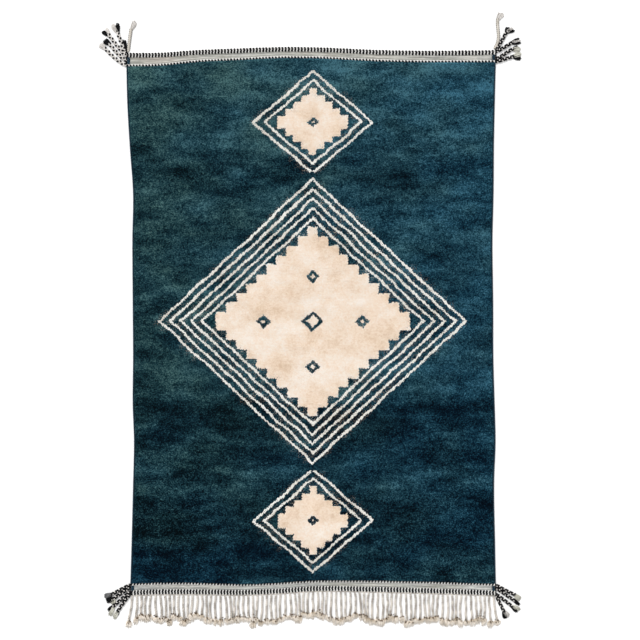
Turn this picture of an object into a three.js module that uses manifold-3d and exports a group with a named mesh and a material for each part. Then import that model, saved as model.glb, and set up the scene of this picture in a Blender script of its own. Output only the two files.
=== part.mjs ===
// A hand-knotted wool pile rug of the beni mrirt kind, lying flat, in millimetres with +Z up.
// The origin is the middle of the underside of the pile cloth. +Y runs to the end without a fringe.

import * as THREE from "three";
import { mergeVertices } from "three/addons/utils/BufferGeometryUtils.js";
import Module from "manifold-3d";

const { lerp, clamp, degToRad } = THREE.MathUtils;

const GAP = 0.3; // clear space between neighbouring pieces

// The pile cloth
const PILE_HEIGHT = 19;
const PILE_WIDEST_AT = 9; // height at which the pile's edge stands out furthest
const PILE_ROUNDING = 14; // width of the rounded rim
const PILE_FOOT_INSET = 4; // how far the underside's edge lies inside the widest outline
const PILE_LUMP = 1.3; // height of the soft lumps in the pile
const PILE_ROWS = 32;
const COLUMNS = 29; // shared by the pile and the heading bands, so that their edges stay parallel

// The headings, from the outer edge inwards
const OUTER_TWINE_WIDTH = 27;
const INNER_TWINE_WIDTH = 13;
const STITCHES_PER_COLUMN = 4; // raised stitches of the outer twine between two columns
const STITCH_LOW = 5;
const STITCH_HIGH = 8.5;
const STITCH_SLANT = 3;
const HEADING_INSET = 4; // the headings are this much shorter than the pile cloth is wide, each side

// The sides
const SELVEDGE_WIDTH = 8;
const END_WRAP_WIDTH = 18;
const END_WRAP_HEIGHT = 9;
const END_WRAP_TURNS = 3;

// The warp fringe
const STRANDS = 79;
const STRIP_WIDTH = 5;
const STRIP_SHOULDER = 4;
const STRIP_HEIGHT = 5;
const STRAND_ROOT_HEIGHT = 3; // a strand leaves the strip's side below its shoulder
const CORD = { width: 12, height: 8 };
const KNOT = { width: 17, height: 12, length: 16 };
const TUFT = { width: 34, height: 7, length: 40 };
const STRAND_CLEARANCE = 1.5;
const STRAND_INSET = 8; // from the heading's ends to the roots of the outermost strands
const SPLAY = { left: 16, right: 12, strands: 1.2 }; // lean of the outermost strands, and how soon it fades

// How far below the heading the fringe ends, at places across the rug
const FRINGE_DROPS = [
  { x: -1004, drop: 190 },
  { x: -921, drop: 140 },
  { x: -800, drop: 173 },
  { x: -757, drop: 155 },
  { x: -710, drop: 174 },
  { x: -647, drop: 148 },
  { x: -510, drop: 179 },
  { x: -427, drop: 156 },
  { x: -330, drop: 176 },
  { x: -110, drop: 162 },
  { x: 40, drop: 152 },
  { x: 100, drop: 188 },
  { x: 190, drop: 180 },
  { x: 235, drop: 157 },
  { x: 330, drop: 182 },
  { x: 479, drop: 165 },
  { x: 534, drop: 192 },
  { x: 610, drop: 160 },
  { x: 700, drop: 163 },
  { x: 836, drop: 180 },
  { x: 890, drop: 157 },
  { x: 1000, drop: 176 },
];

// The corner cords and braids
const HEAD = { width: 7, height: 8 };
const BRAID = { width: 18, height: 10, lobe: 14, sway: 1.6 };
const PLAIN_CORD = { width: 15, height: 9, lobe: 24, sway: 0.4 };
const LOOSE_LOCK = { width: 16, height: 9, lobe: 20, sway: 0 };
const ROOT_LENGTH = 14; // a cord reaches its full width this far from its head
const ROOT_SHARE = 0.4; // its width at the root, as a share of the full width
const END_OVERLAP = 6; // how far inside its cord a loose end starts

// The side edges at places along the length
const SIDES = [
  { y: -1510, left: -1005, right: 1007 },
  { y: -1250, left: -997, right: 1002 },
  { y: -900, left: -988, right: 996 },
  { y: -660, left: -983, right: 1004 },
  { y: -450, left: -990, right: 999 },
  { y: -200, left: -988, right: 992 },
  { y: 100, left: -990, right: 991 },
  { y: 440, left: -992, right: 987 },
  { y: 700, left: -988, right: 993 },
  { y: 960, left: -1006, right: 995 },
  { y: 1210, left: -1020, right: 1000 },
  { y: 1490, left: -1026, right: 1007 },
];

// The outer edge of each heading, and the width of its kilim band, at places across the rug
const HEADINGS = [
  { x: -1030, top: 1477, topKilim: 37, bottom: -1508, bottomKilim: 25 },
  { x: -840, top: 1478, topKilim: 34, bottom: -1501, bottomKilim: 25 },
  { x: -630, top: 1493, topKilim: 28, bottom: -1501, bottomKilim: 24 },
  { x: -390, top: 1502, topKilim: 26, bottom: -1504, bottomKilim: 20 },
  { x: -190, top: 1509, topKilim: 23, bottom: -1497, bottomKilim: 20 },
  { x: -60, top: 1509, topKilim: 23, bottom: -1487, bottomKilim: 19 },
  { x: 70, top: 1506, topKilim: 23, bottom: -1482, bottomKilim: 19 },
  { x: 330, top: 1494, topKilim: 25, bottom: -1487, bottomKilim: 22 },
  { x: 600, top: 1489, topKilim: 26, bottom: -1494, bottomKilim: 24 },
  { x: 830, top: 1490, topKilim: 27, bottom: -1501, bottomKilim: 24 },
  { x: 1010, top: 1492, topKilim: 29, bottom: -1508, bottomKilim: 25 },
];

// The cords of each corner: the place up its head's bar where a cord leaves it (with x where it leaves the
// head's tab instead), its heading there in degrees from +X, how far it turns over its whole length, how much
// more it turns half way along, its length, and its loose ends, each with its own turn from the cord's end and
// the width that it fans out to.
const CORNER_CORDS = {
  tassel_top_left: [
    { form: PLAIN_CORD, x: -1015, y: 1481, angle: 84, turn: -3, hump: 0, length: 128,
      ends: [{ turn: -16, length: 44, width: 30 }] },
    { form: LOOSE_LOCK, y: 1474, angle: 96, turn: 0, hump: 0, length: 40,
      ends: [{ turn: 14, length: 34, width: 24 }] },
    { form: BRAID, y: 1466, angle: 114, turn: -6, hump: 0, length: 131,
      ends: [{ turn: -14, length: 50, width: 21 }, { turn: 14, length: 52, width: 26 }] },
    { form: BRAID, y: 1456, angle: 132, turn: -7, hump: 0, length: 155,
      ends: [{ turn: -13, length: 36, width: 16 }, { turn: 28, length: 38, width: 19 }] },
    { form: BRAID, y: 1430, angle: 142, turn: -18, hump: 0, length: 135,
      ends: [{ turn: 28, length: 34, width: 32 }] },
    { form: BRAID, y: 1405, angle: 151, turn: -24, hump: 0, length: 158,
      ends: [{ turn: 14, length: 28, width: 30 }] },
  ],
  tassel_top_right: [
    { form: PLAIN_CORD, x: 997, y: 1499, angle: 56, turn: 21, hump: 29, length: 170,
      ends: [{ turn: -28, length: 32, width: 34 }] },
    { form: BRAID, y: 1488, angle: 58, turn: 6, hump: 0, length: 123,
      ends: [{ turn: 2, length: 24, width: 24 }, { turn: -31, length: 36, width: 12 },
        { turn: -54, length: 40, width: 12 }] },
    { form: BRAID, y: 1480, angle: 27, turn: 2, hump: 4, length: 107,
      ends: [{ turn: -4, length: 42, width: 16 }, { turn: -17, length: 42, width: 14 },
        { turn: -29, length: 42, width: 14 }] },
    { form: BRAID, y: 1441, angle: 27, turn: -6, hump: 10, length: 112,
      ends: [{ turn: 2, length: 28, width: 16 }, { turn: -22, length: 38, width: 30 }] },
    { form: BRAID, y: 1424, angle: 20, turn: -4, hump: 0, length: 104,
      ends: [{ turn: 12, length: 42, width: 24 }, { turn: -22, length: 40, width: 26 }] },
  ],
  tassel_bottom_left: [
    { form: BRAID, y: -1447, angle: 207, turn: 2, hump: 0, length: 120,
      ends: [{ turn: -14, length: 38, width: 26 }, { turn: 14, length: 40, width: 20 }] },
    { form: BRAID, y: -1463, angle: 213, turn: 2, hump: 0, length: 113,
      ends: [{ turn: -8, length: 38, width: 22 }, { turn: 40, length: 30, width: 24 }] },
    { form: BRAID, y: -1486, angle: 220, turn: 3, hump: 0, length: 124,
      ends: [{ turn: -6, length: 38, width: 24 }, { turn: 22, length: 52, width: 24 }] },
    { form: BRAID, y: -1500, angle: 230, turn: 9, hump: 0, length: 118,
      ends: [{ turn: -6, length: 44, width: 20 }, { turn: 10, length: 24, width: 16 }] },
  ],
  tassel_bottom_right: [
    { form: BRAID, y: -1448, angle: -31, turn: 8, hump: 0, length: 121,
      ends: [{ turn: -20, length: 42, width: 38 }] },
    { form: BRAID, y: -1464, angle: -37, turn: 6, hump: 0, length: 124,
      ends: [{ turn: -4, length: 38, width: 16 }] },
    { form: BRAID, y: -1498, angle: -36, turn: -4, hump: 0, length: 116,
      ends: [{ turn: 24, length: 48, width: 26 }, { turn: -12, length: 38, width: 18 }] },
    { form: BRAID, y: -1504, angle: -64, turn: 0, hump: 0, length: 103,
      ends: [{ turn: -14, length: 38, width: 22 }, { turn: 22, length: 38, width: 26 }] },
  ],
};

const MATERIALS = {
  pile: new THREE.MeshStandardMaterial({ color: 0x1f4452, roughness: 0.95, metalness: 0 }),
  kilim: new THREE.MeshStandardMaterial({ color: 0xb4b0a8, roughness: 0.9, metalness: 0 }),
  outerTwine: new THREE.MeshStandardMaterial({ color: 0x2a2c2e, roughness: 0.85, metalness: 0 }),
  innerTwine: new THREE.MeshStandardMaterial({ color: 0x8d9494, roughness: 0.85, metalness: 0 }),
  selvedge: new THREE.MeshStandardMaterial({ color: 0x142733, roughness: 0.9, metalness: 0 }),
  fringe: new THREE.MeshStandardMaterial({ color: 0xd3cbbf, roughness: 0.9, metalness: 0 }),
  braid: new THREE.MeshStandardMaterial({ color: 0x55534f, roughness: 0.85, metalness: 0 }),
};

// A smooth curve through one column of a table: cubic between rows, each row's slope set by its neighbours.
function curveThrough(table, along, column) {
  const at = table.map((row) => row[along]);
  const value = table.map((row) => row[column]);
  const last = table.length - 1;
  const slope = value.map((_, i) => {
    const before = Math.max(i - 1, 0);
    const after = Math.min(i + 1, last);
    return (value[after] - value[before]) / (at[after] - at[before]);
  });
  return (where) => {
    const place = clamp(where, at[0], at[last]);
    let i = 0;
    while (i < last - 1 && at[i + 1] < place) i += 1;
    const span = at[i + 1] - at[i];
    const s = (place - at[i]) / span;
    const rise = s * s * (3 - 2 * s);
    const lead = s * (1 - s) * (1 - s) * span;
    const trail = s * s * (s - 1) * span;
    return lerp(value[i], value[i + 1], rise) + lead * slope[i] + trail * slope[i + 1];
  };
}

// The same curve as straight stretches between the shared columns.
function throughColumns(curve, from, to) {
  const width = (to - from) / COLUMNS;
  return (x) => {
    const column = clamp(Math.floor((x - from) / width), 0, COLUMNS - 1);
    const start = from + column * width;
    return lerp(curve(start), curve(start + width), (x - start) / width);
  };
}

// A repeatable number from 0 to 1 for each index and seed.
function scatter(index, seed) {
  const turned = Math.sin(index * 12.9898 + seed * 78.233) * 43758.5453;
  return turned - Math.floor(turned);
}

const sideLeft = curveThrough(SIDES, "y", "left");
const sideRight = curveThrough(SIDES, "y", "right");

// One end of the rug: its outer edge and the edges of its bands, as functions of x. Inwards is the sign of y
// from the outer edge to the pile.
function heading(end, kilimColumn, inwards) {
  const nominalY = -inwards * 1470;
  const left = sideLeft(nominalY) + HEADING_INSET;
  const right = sideRight(nominalY) - HEADING_INSET;
  const outer = throughColumns(curveThrough(HEADINGS, "x", end), left, right);
  const kilim = throughColumns(curveThrough(HEADINGS, "x", kilimColumn), left, right);
  const step = (distance) => (x) => outer(x) + inwards * distance(x);
  return {
    left,
    right,
    inwards,
    outer,
    kilimOuter: step(() => OUTER_TWINE_WIDTH),
    kilimInner: step((x) => OUTER_TWINE_WIDTH + kilim(x)),
    pile: step((x) => OUTER_TWINE_WIDTH + kilim(x) + INNER_TWINE_WIDTH),
  };
}

const TOP = heading("top", "topKilim", -1);
const BOTTOM = heading("bottom", "bottomKilim", 1);

// A closed skin from vertices and triangles, its faces turned out whichever way they were listed.
function skin(points, triangles) {
  const geometry = new THREE.BufferGeometry();
  geometry.setAttribute("position", new THREE.Float32BufferAttribute(points.flatMap((p) => p.toArray()), 3));
  let volume = 0;
  for (const [a, b, c] of triangles) {
    volume += points[a].dot(new THREE.Vector3().crossVectors(points[b], points[c]));
  }
  const outward = volume < 0 ? triangles.map(([a, b, c]) => [a, c, b]) : triangles;
  geometry.setIndex(outward.flat());
  geometry.computeVertexNormals();
  return geometry;
}

// A solid through rings of equal length, closed at both ends. A ring runs round its section once.
function throughRings(rings) {
  const around = rings[0].length;
  const triangles = [];
  for (let r = 0; r < rings.length - 1; r += 1) {
    for (let i = 0; i < around; i += 1) {
      const a = r * around + i;
      const b = r * around + ((i + 1) % around);
      triangles.push([a, b, b + around], [a, b + around, a + around]);
    }
  }
  const end = (rings.length - 1) * around;
  for (let i = 1; i < around - 1; i += 1) {
    triangles.push([0, i + 1, i], [end, end + i, end + i + 1]);
  }
  return skin(rings.flat(), triangles);
}

// The columns' places across a heading, with the band's own two ends.
function stations(end, from, to, perColumn = 1) {
  const count = COLUMNS * perColumn;
  const places = [from];
  for (let i = 1; i < count; i += 1) {
    const x = lerp(end.left, end.right, i / count);
    if (x > from + GAP && x < to - GAP) places.push(x);
  }
  places.push(to);
  return places;
}

// A band across the rug. Its profile runs from its inner edge, across 0, to its outer edge, across 1.
function band({ end, from, to, inner, outer, profile, perColumn = 1 }) {
  const rings = stations(end, from, to, perColumn).map((x, i) =>
    profile(i).map(({ across, z, slant = 0 }) => {
      const y = lerp(inner(x) - (end.inwards * GAP) / 2, outer(x) + (end.inwards * GAP) / 2, across);
      return new THREE.Vector3(clamp(x + slant, from, to), y, z);
    }),
  );
  return throughRings(rings);
}

// A flat-bottomed band section: straight sides up to the shoulder and the given crown points between them.
function section(shoulder, crown) {
  return [
    { across: 0, z: 0 },
    { across: 0, z: shoulder },
    ...crown,
    { across: 1, z: shoulder },
    { across: 1, z: 0 },
  ];
}

// The flat-woven band: three soft ribs of weft along it.
function kilim(end) {
  const ribs = section(3, [
    { across: 0.17, z: 4.4 },
    { across: 0.33, z: 3.4 },
    { across: 0.5, z: 4.4 },
    { across: 0.67, z: 3.4 },
    { across: 0.83, z: 4.4 },
  ]);
  return band({
    end,
    from: end.left + END_WRAP_WIDTH + GAP,
    to: end.right - END_WRAP_WIDTH - GAP,
    inner: end.kilimInner,
    outer: end.kilimOuter,
    profile: () => ribs,
  });
}

// The broad twined row: a raised, slanting stitch for each bar of dark yarn.
function outerTwine(end) {
  const stitch = (i) => {
    const z = i % 2 ? STITCH_HIGH : STITCH_LOW;
    return [
      { across: 0, z: 0 },
      { across: 0.07, z, slant: -STITCH_SLANT },
      { across: 0.93, z, slant: STITCH_SLANT },
      { across: 1, z: 0 },
    ];
  };
  return band({
    end,
    from: end.left,
    to: end.right,
    inner: end.kilimOuter,
    outer: end.outer,
    profile: stitch,
    perColumn: 2 * STITCHES_PER_COLUMN,
  });
}

// The narrow twined row, a plain rounded strip.
function innerTwine(end) {
  const round = section(4, [
    { across: 0.28, z: 7 },
    { across: 0.72, z: 7 },
  ]);
  return band({
    end,
    from: end.left,
    to: end.right,
    inner: end.pile,
    outer: end.kilimInner,
    profile: () => round,
  });
}

// The point of the pile's outline at a share u of the way across and v of the way up. The width depends on y
// and the length on x, so the two are settled in turn.
function pilePlace(u, v) {
  let x = lerp(-1000, 1000, u);
  let y = 0;
  for (let pass = 0; pass < 4; pass += 1) {
    y = lerp(BOTTOM.pile(x) + GAP / 2, TOP.pile(x) - GAP / 2, v);
    x = lerp(sideLeft(y) + SELVEDGE_WIDTH + GAP, sideRight(y) - SELVEDGE_WIDTH - GAP, u);
  }
  return new THREE.Vector2(x, y);
}

const PILE_WIDTH = pilePlace(1, 0.5).x - pilePlace(0, 0.5).x;
const PILE_LENGTH = pilePlace(0.5, 1).y - pilePlace(0.5, 0).y;

// Grid shares from 0 to 1: three close together at each rim, and the rest even.
function rimmedShares(count, size) {
  const rim = [0, 0.25, 1].map((part) => (part * PILE_ROUNDING) / size);
  const even = Array.from({ length: count - 1 }, (_, i) => (i + 1) / count);
  return [...rim, ...even, ...rim.map((share) => 1 - share).reverse()];
}

const ACROSS = rimmedShares(COLUMNS, PILE_WIDTH);
const ALONG = rimmedShares(PILE_ROWS, PILE_LENGTH);

// How far the rounded rim has risen, from 0 at the widest outline to 1 on the flat of the pile.
function rimRise(share, size) {
  const inside = Math.min(share, 1 - share) * size;
  const left = clamp(1 - inside / PILE_ROUNDING, 0, 1);
  return Math.sqrt(1 - left * left);
}

// The soft lumps of the pile: three crossed waves.
function lump(x, y) {
  const broad = Math.sin(x / 97 + 0.6) * Math.sin(y / 131 + 1.1);
  const close = 0.6 * Math.sin(x / 53 + y / 71);
  const rows = 0.4 * Math.sin(y / 39 + 0.4 * Math.sin(x / 210));
  return (PILE_LUMP * (broad + close + rows)) / 2;
}

// The pile cloth: a lumpy top with a rounded rim, and a flat underside.
function pileField() {
  const width = ACROSS.length;
  const points = [];
  for (const v of ALONG) {
    for (const u of ACROSS) {
      const place = pilePlace(u, v);
      const rise = rimRise(u, PILE_WIDTH) * rimRise(v, PILE_LENGTH);
      const crown = PILE_HEIGHT + lump(place.x, place.y);
      points.push(new THREE.Vector3(place.x, place.y, lerp(PILE_WIDEST_AT, crown, rise)));
    }
  }
  const triangles = [];
  for (let j = 0; j < ALONG.length - 1; j += 1) {
    for (let i = 0; i < width - 1; i += 1) {
      const a = j * width + i;
      triangles.push([a, a + 1, a + width + 1], [a, a + width + 1, a + width]);
    }
  }
  const rim = [];
  for (let i = 0; i < width - 1; i += 1) rim.push([i, 0]);
  for (let j = 0; j < ALONG.length - 1; j += 1) rim.push([width - 1, j]);
  for (let i = width - 1; i > 0; i -= 1) rim.push([i, ALONG.length - 1]);
  for (let j = ALONG.length - 1; j > 0; j -= 1) rim.push([0, j]);
  const foot = rim.map(([i, j]) => {
    const u = lerp(ACROSS[i], 0.5, (2 * PILE_FOOT_INSET) / PILE_WIDTH);
    const v = lerp(ALONG[j], 0.5, (2 * PILE_FOOT_INSET) / PILE_LENGTH);
    return pilePlace(u, v);
  });
  const first = points.length;
  points.push(...foot.map((place) => new THREE.Vector3(place.x, place.y, 0)));
  rim.forEach(([i, j], k) => {
    const next = (k + 1) % rim.length;
    const [p, q] = rim[next];
    const a = j * width + i;
    const b = q * width + p;
    triangles.push([a, first + k, first + next], [a, first + next, b]);
  });
  for (const [a, b, c] of THREE.ShapeUtils.triangulateShape(foot, [])) {
    triangles.push([first + c, first + b, first + a]);
  }
  return skin(points, triangles);
}

// The overcast cord down one side of the pile, beside the pile's own rows.
function selvedge(side) {
  const edge = side < 0 ? 0 : 1;
  const outline = side < 0 ? sideLeft : sideRight;
  const round = section(6, [
    { across: 0.3, z: 10 },
    { across: 0.7, z: 10 },
  ]);
  const rings = ALONG.map((v) => {
    const place = pilePlace(edge, v);
    const inner = place.x + side * GAP;
    return round.map(({ across, z }) => new THREE.Vector3(lerp(inner, outline(place.y), across), place.y, z));
  });
  return throughRings(rings);
}

// The wrapping over one end of a kilim band, with a bulge for each turn of the yarn.
function endWrap(end, side) {
  const outerX = side < 0 ? end.left : end.right;
  const innerX = outerX - side * END_WRAP_WIDTH;
  const low = (x) => end.kilimInner(x) - end.inwards * GAP;
  const high = (x) => end.kilimOuter(x) + end.inwards * GAP;
  const count = 2 * END_WRAP_TURNS;
  const rings = Array.from({ length: count + 1 }, (_, i) => {
    const top = END_WRAP_HEIGHT - (i % 2 ? 0 : 1.5);
    return section(0.6 * top, [
      { across: 0.25, z: top },
      { across: 0.75, z: top },
    ]).map(({ across, z }) => {
      const x = lerp(innerX, outerX, across);
      return new THREE.Vector3(x, lerp(low(x), high(x), i / count), z);
    });
  });
  return throughRings(rings);
}

// A ring of a strand or cord that lies on the floor: wide below, narrower above, square to its direction.
function lyingRing(place, direction, width, height) {
  const across = new THREE.Vector2(-direction.y, direction.x);
  return [
    { side: -0.5, z: 0 },
    { side: -0.3, z: height },
    { side: 0.3, z: height },
    { side: 0.5, z: 0 },
  ].map(({ side, z }) => {
    const point = place.clone().addScaledVector(across, side * width);
    return new THREE.Vector3(point.x, point.y, z);
  });
}

const wasm = await Module();
wasm.setup();

// A three.js geometry as a solid that can be joined.
function toSolid(geometry) {
  const bare = new THREE.BufferGeometry();
  bare.setAttribute("position", geometry.getAttribute("position"));
  bare.setIndex(geometry.getIndex());
  const merged = mergeVertices(bare, 1e-4);
  return new wasm.Manifold(
    new wasm.Mesh({
      numProp: 3,
      vertProperties: new Float32Array(merged.getAttribute("position").array),
      triVerts: new Uint32Array(merged.getIndex().array),
    }),
  );
}

// Several overlapping geometries joined into one.
function joined(geometries) {
  const mesh = geometries.map(toSolid).reduce((sum, next) => sum.add(next)).getMesh();
  const geometry = new THREE.BufferGeometry();
  const points = new Float32Array(mesh.numVert * 3);
  for (let i = 0; i < mesh.numVert; i += 1) {
    points.set(mesh.vertProperties.subarray(i * mesh.numProp, i * mesh.numProp + 3), i * 3);
  }
  geometry.setAttribute("position", new THREE.BufferAttribute(points, 3));
  geometry.setIndex(new THREE.BufferAttribute(new Uint32Array(mesh.triVerts), 1));
  geometry.computeVertexNormals();
  return geometry;
}

// How each strand of the fringe lies: its root, its sideways lean and bow, and where its knot is. The outermost
// strands splay, and the rest lean and bow in slow waves with a little scatter.
function strandLays() {
  const dropAt = curveThrough(FRINGE_DROPS, "x", "drop");
  return Array.from({ length: STRANDS }, (_, i) => {
    const root = lerp(BOTTOM.left + STRAND_INSET, BOTTOM.right - STRAND_INSET, i / (STRANDS - 1));
    const fromRight = STRANDS - 1 - i;
    const outwards = SPLAY.right * Math.exp(-fromRight / SPLAY.strands) - SPLAY.left * Math.exp(-i / SPLAY.strands);
    const drop = dropAt(root) + 6 * (scatter(i, 3) - 0.5);
    return {
      root,
      lean: outwards + 5 * Math.sin(i * 1.31) + 4 * Math.sin(i * 0.47 - 2) + 3 * (scatter(i, 1) - 0.5),
      bow: 4 * Math.sin(i * 0.93 + 1.2) + 3 * (scatter(i, 2) - 0.5),
      knotAt: drop - TUFT.length - STRIP_WIDTH / 2,
    };
  });
}

// The warp fringe: knotted cords with loose tufts below, their roots in a narrow strip beside the heading.
function fringe() {
  const strip = band({
    end: BOTTOM,
    from: BOTTOM.left,
    to: BOTTOM.right,
    inner: (x) => BOTTOM.outer(x),
    outer: (x) => BOTTOM.outer(x) - STRIP_WIDTH,
    profile: () => section(STRIP_SHOULDER, [{ across: 0.5, z: STRIP_HEIGHT }]),
  });
  const lays = strandLays();
  const foot = lays.map(({ root, lean }) => root + lean);
  const strands = lays.map(({ root, lean, bow, knotAt }, i) => {
    const before = i > 0 ? foot[i] - foot[i - 1] : TUFT.width * 2;
    const after = i < STRANDS - 1 ? foot[i + 1] - foot[i] : TUFT.width * 2;
    const room = Math.min(before, after) - STRAND_CLEARANCE;
    const top = BOTTOM.outer(root) - STRIP_WIDTH / 2;
    const along = [
      { down: 0, width: 0.8 * CORD.width, height: STRAND_ROOT_HEIGHT },
      { down: knotAt / 2, width: CORD.width, height: CORD.height },
      { down: knotAt - KNOT.length / 2, width: 0.9 * CORD.width, height: CORD.height },
      { down: knotAt, width: Math.min(KNOT.width, room), height: KNOT.height },
      { down: knotAt + KNOT.length / 2, width: 0.9 * CORD.width, height: CORD.height },
      { down: knotAt + TUFT.length, width: Math.min(TUFT.width, room), height: TUFT.height },
    ];
    const downwards = new THREE.Vector2(0, -1);
    return throughRings(
      along.map(({ down, width, height }) => {
        const share = Math.min(down / knotAt, 1);
        const x = root + lean * share + bow * Math.sin(Math.PI * share);
        return lyingRing(new THREE.Vector2(x, top - down), downwards, width, height);
      }),
    );
  });
  return joined([strip, ...strands]);
}

// A cord's middle line in even steps, from its heading, its turn and its hump.
function cordLine({ x, y, angle, turn, hump, length, form }) {
  const steps = Math.max(3, Math.round(length / form.lobe));
  const line = [];
  const place = new THREE.Vector2(x, y);
  for (let i = 0; i <= steps; i += 1) {
    const share = i / steps;
    const heading = degToRad(angle + turn * share + hump * Math.sin(Math.PI * share));
    const direction = new THREE.Vector2(Math.cos(heading), Math.sin(heading));
    line.push({ place: place.clone(), direction, run: share * length, heading });
    place.addScaledVector(direction, length / steps);
  }
  return line;
}

// A corner cord: lobes that swing from side to side, then its loose ends.
function cornerCord(cord) {
  const { form, ends } = cord;
  const line = cordLine(cord);
  const rings = line.map(({ place, direction, run }, i) => {
    const swing = i % 2 ? form.sway : -form.sway;
    const full = clamp(lerp(ROOT_SHARE, 1, run / ROOT_LENGTH), 0, 1);
    const across = new THREE.Vector2(-direction.y, direction.x);
    const middle = place.clone().addScaledVector(across, swing * full);
    const height = form.height - (i % 2 ? 0 : form.sway);
    return lyingRing(middle, direction, form.width * full, height * full);
  });
  const tip = line[line.length - 1];
  const tufts = ends.map(({ turn, length, width }) => {
    const heading = tip.heading + degToRad(turn);
    const direction = new THREE.Vector2(Math.cos(heading), Math.sin(heading));
    const start = tip.place.clone().addScaledVector(tip.direction, -END_OVERLAP);
    return throughRings(
      [
        { out: 0, across: 0.5 * form.width, height: 0.8 * form.height },
        { out: END_OVERLAP + 0.5 * length, across: 0.8 * width, height: 0.8 * form.height },
        { out: END_OVERLAP + length, across: width, height: 0.5 * form.height },
      ].map(({ out, across, height }) =>
        lyingRing(start.clone().addScaledVector(direction, out), direction, across, height),
      ),
    );
  });
  return [throughRings(rings), ...tufts];
}

// A plain block from two opposite corners.
function block(low, high) {
  const geometry = new THREE.BoxGeometry(high.x - low.x, high.y - low.y, high.z - low.z);
  geometry.translate((low.x + high.x) / 2, (low.y + high.y) / 2, (low.z + high.z) / 2);
  return geometry;
}

// The head of a corner's cords: a small bar beside the ends of the heading bands. At the top it has a tab
// round the corner, which the plain cord leaves.
function tassel(name, end, side) {
  const edge = side < 0 ? end.left : end.right;
  const near = edge + side * GAP;
  const far = near + side * HEAD.width;
  const bar = block(
    new THREE.Vector3(Math.min(near, far), Math.min(end.pile(edge), end.outer(edge)) + 1, 0),
    new THREE.Vector3(Math.max(near, far), Math.max(end.pile(edge), end.outer(edge)) - 1, HEAD.height),
  );
  const pieces = [bar];
  if (end === TOP) {
    const reach = edge - side * 2 * HEAD.width;
    const over = Math.max(end.outer(edge), end.outer(reach)) + GAP;
    pieces.push(
      block(
        new THREE.Vector3(Math.min(reach, far), over, 0),
        new THREE.Vector3(Math.max(reach, far), over + HEAD.width, HEAD.height),
      ),
      block(
        new THREE.Vector3(Math.min(near, far), end.outer(edge) - 2, 0),
        new THREE.Vector3(Math.max(near, far), over + 1, HEAD.height),
      ),
    );
  }
  const cords = CORNER_CORDS[name].map((cord) => cornerCord({ x: (near + far) / 2, ...cord }));
  return joined([...pieces, ...cords.flat()]);
}

const rug = new THREE.Group();
rug.name = "rug";

function add(name, geometry, material) {
  const mesh = new THREE.Mesh(geometry, material);
  mesh.name = name;
  rug.add(mesh);
}

add("pile_field", pileField(), MATERIALS.pile);
for (const [where, end] of [["top", TOP], ["bottom", BOTTOM]]) {
  add(`kilim_${where}`, kilim(end), MATERIALS.kilim);
  add(`twine_outer_${where}`, outerTwine(end), MATERIALS.outerTwine);
  add(`twine_inner_${where}`, innerTwine(end), MATERIALS.innerTwine);
  for (const [hand, side] of [["left", -1], ["right", 1]]) {
    add(`end_wrap_${where}_${hand}`, endWrap(end, side), MATERIALS.selvedge);
    const name = `tassel_${where}_${hand}`;
    add(name, tassel(name, end, side), MATERIALS.braid);
  }
}
add("selvedge_left", selvedge(-1), MATERIALS.selvedge);
add("selvedge_right", selvedge(1), MATERIALS.selvedge);
add("fringe_bottom", fringe(), MATERIALS.fringe);

export default rug;
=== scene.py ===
import logging
import math
from dataclasses import dataclass
from enum import Enum

import bpy
import numpy as np
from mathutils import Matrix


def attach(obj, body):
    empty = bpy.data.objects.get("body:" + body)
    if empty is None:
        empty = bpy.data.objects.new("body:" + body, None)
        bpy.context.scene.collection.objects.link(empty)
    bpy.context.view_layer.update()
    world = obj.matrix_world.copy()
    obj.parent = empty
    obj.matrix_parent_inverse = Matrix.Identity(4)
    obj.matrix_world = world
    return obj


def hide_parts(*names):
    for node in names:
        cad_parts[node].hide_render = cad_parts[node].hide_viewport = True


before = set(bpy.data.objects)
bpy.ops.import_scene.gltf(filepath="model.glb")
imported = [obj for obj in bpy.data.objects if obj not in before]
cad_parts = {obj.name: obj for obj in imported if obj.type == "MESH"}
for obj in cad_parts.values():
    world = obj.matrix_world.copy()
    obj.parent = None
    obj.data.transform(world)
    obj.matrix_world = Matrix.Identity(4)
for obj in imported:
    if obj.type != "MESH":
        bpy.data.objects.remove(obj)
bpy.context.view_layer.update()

# The looks of a beni mrirt rug: knotted pile, flat-woven headings between twined rows, overcast sides, a knotted
# warp fringe and braided cords at the corners. Every size is in millimetres until a shape becomes a mesh.

LOG = logging.getLogger("rug")
METRES = 0.001

GAP = 0.3
COLUMNS = 29
HEADING_INSET = 4.0
NOMINAL_END = 1470.0
OUTER_TWINE_WIDTH = 27.0
INNER_TWINE_WIDTH = 13.0
SELVEDGE_WIDTH = 8.0
END_WRAP_WIDTH = 18.0
PILE_SIZE = (1975.0, 2885.0)
STRANDS = 79

Array = np.ndarray
Triple = tuple[float, float, float]
Colour = Triple
Stops = tuple[tuple[float, Colour], ...]


class End(Enum):
    """The two woven ends of the rug, with the sign of Y from the outer edge inwards."""

    TOP = -1
    BOTTOM = 1

    @property
    def bars(self) -> int:
        """How many pairs of dark and light stitches its twined rows have."""
        return 114 if self is End.TOP else 118

    @property
    def widening(self) -> float:
        """How much narrower than the mean its twined stitches start at the left, as a share."""
        return 0.04 if self is End.TOP else 0.0

    @property
    def word(self) -> str:
        """The end's name in the names of pieces."""
        return self.name.lower()


class Side(Enum):
    """The two long sides of the rug, with the sign of X outwards."""

    LEFT = -1
    RIGHT = 1

    @property
    def word(self) -> str:
        """The side's name in the names of pieces."""
        return self.name.lower()


class Yarn(Enum):
    """The yarns of the braids, their tufts and the twined rows."""

    DARK = "dark"
    LIGHT = "light"
    SOFT = "soft"
    GREY = "grey"
    CREAM = "cream"
    CORD = "cord"


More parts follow.
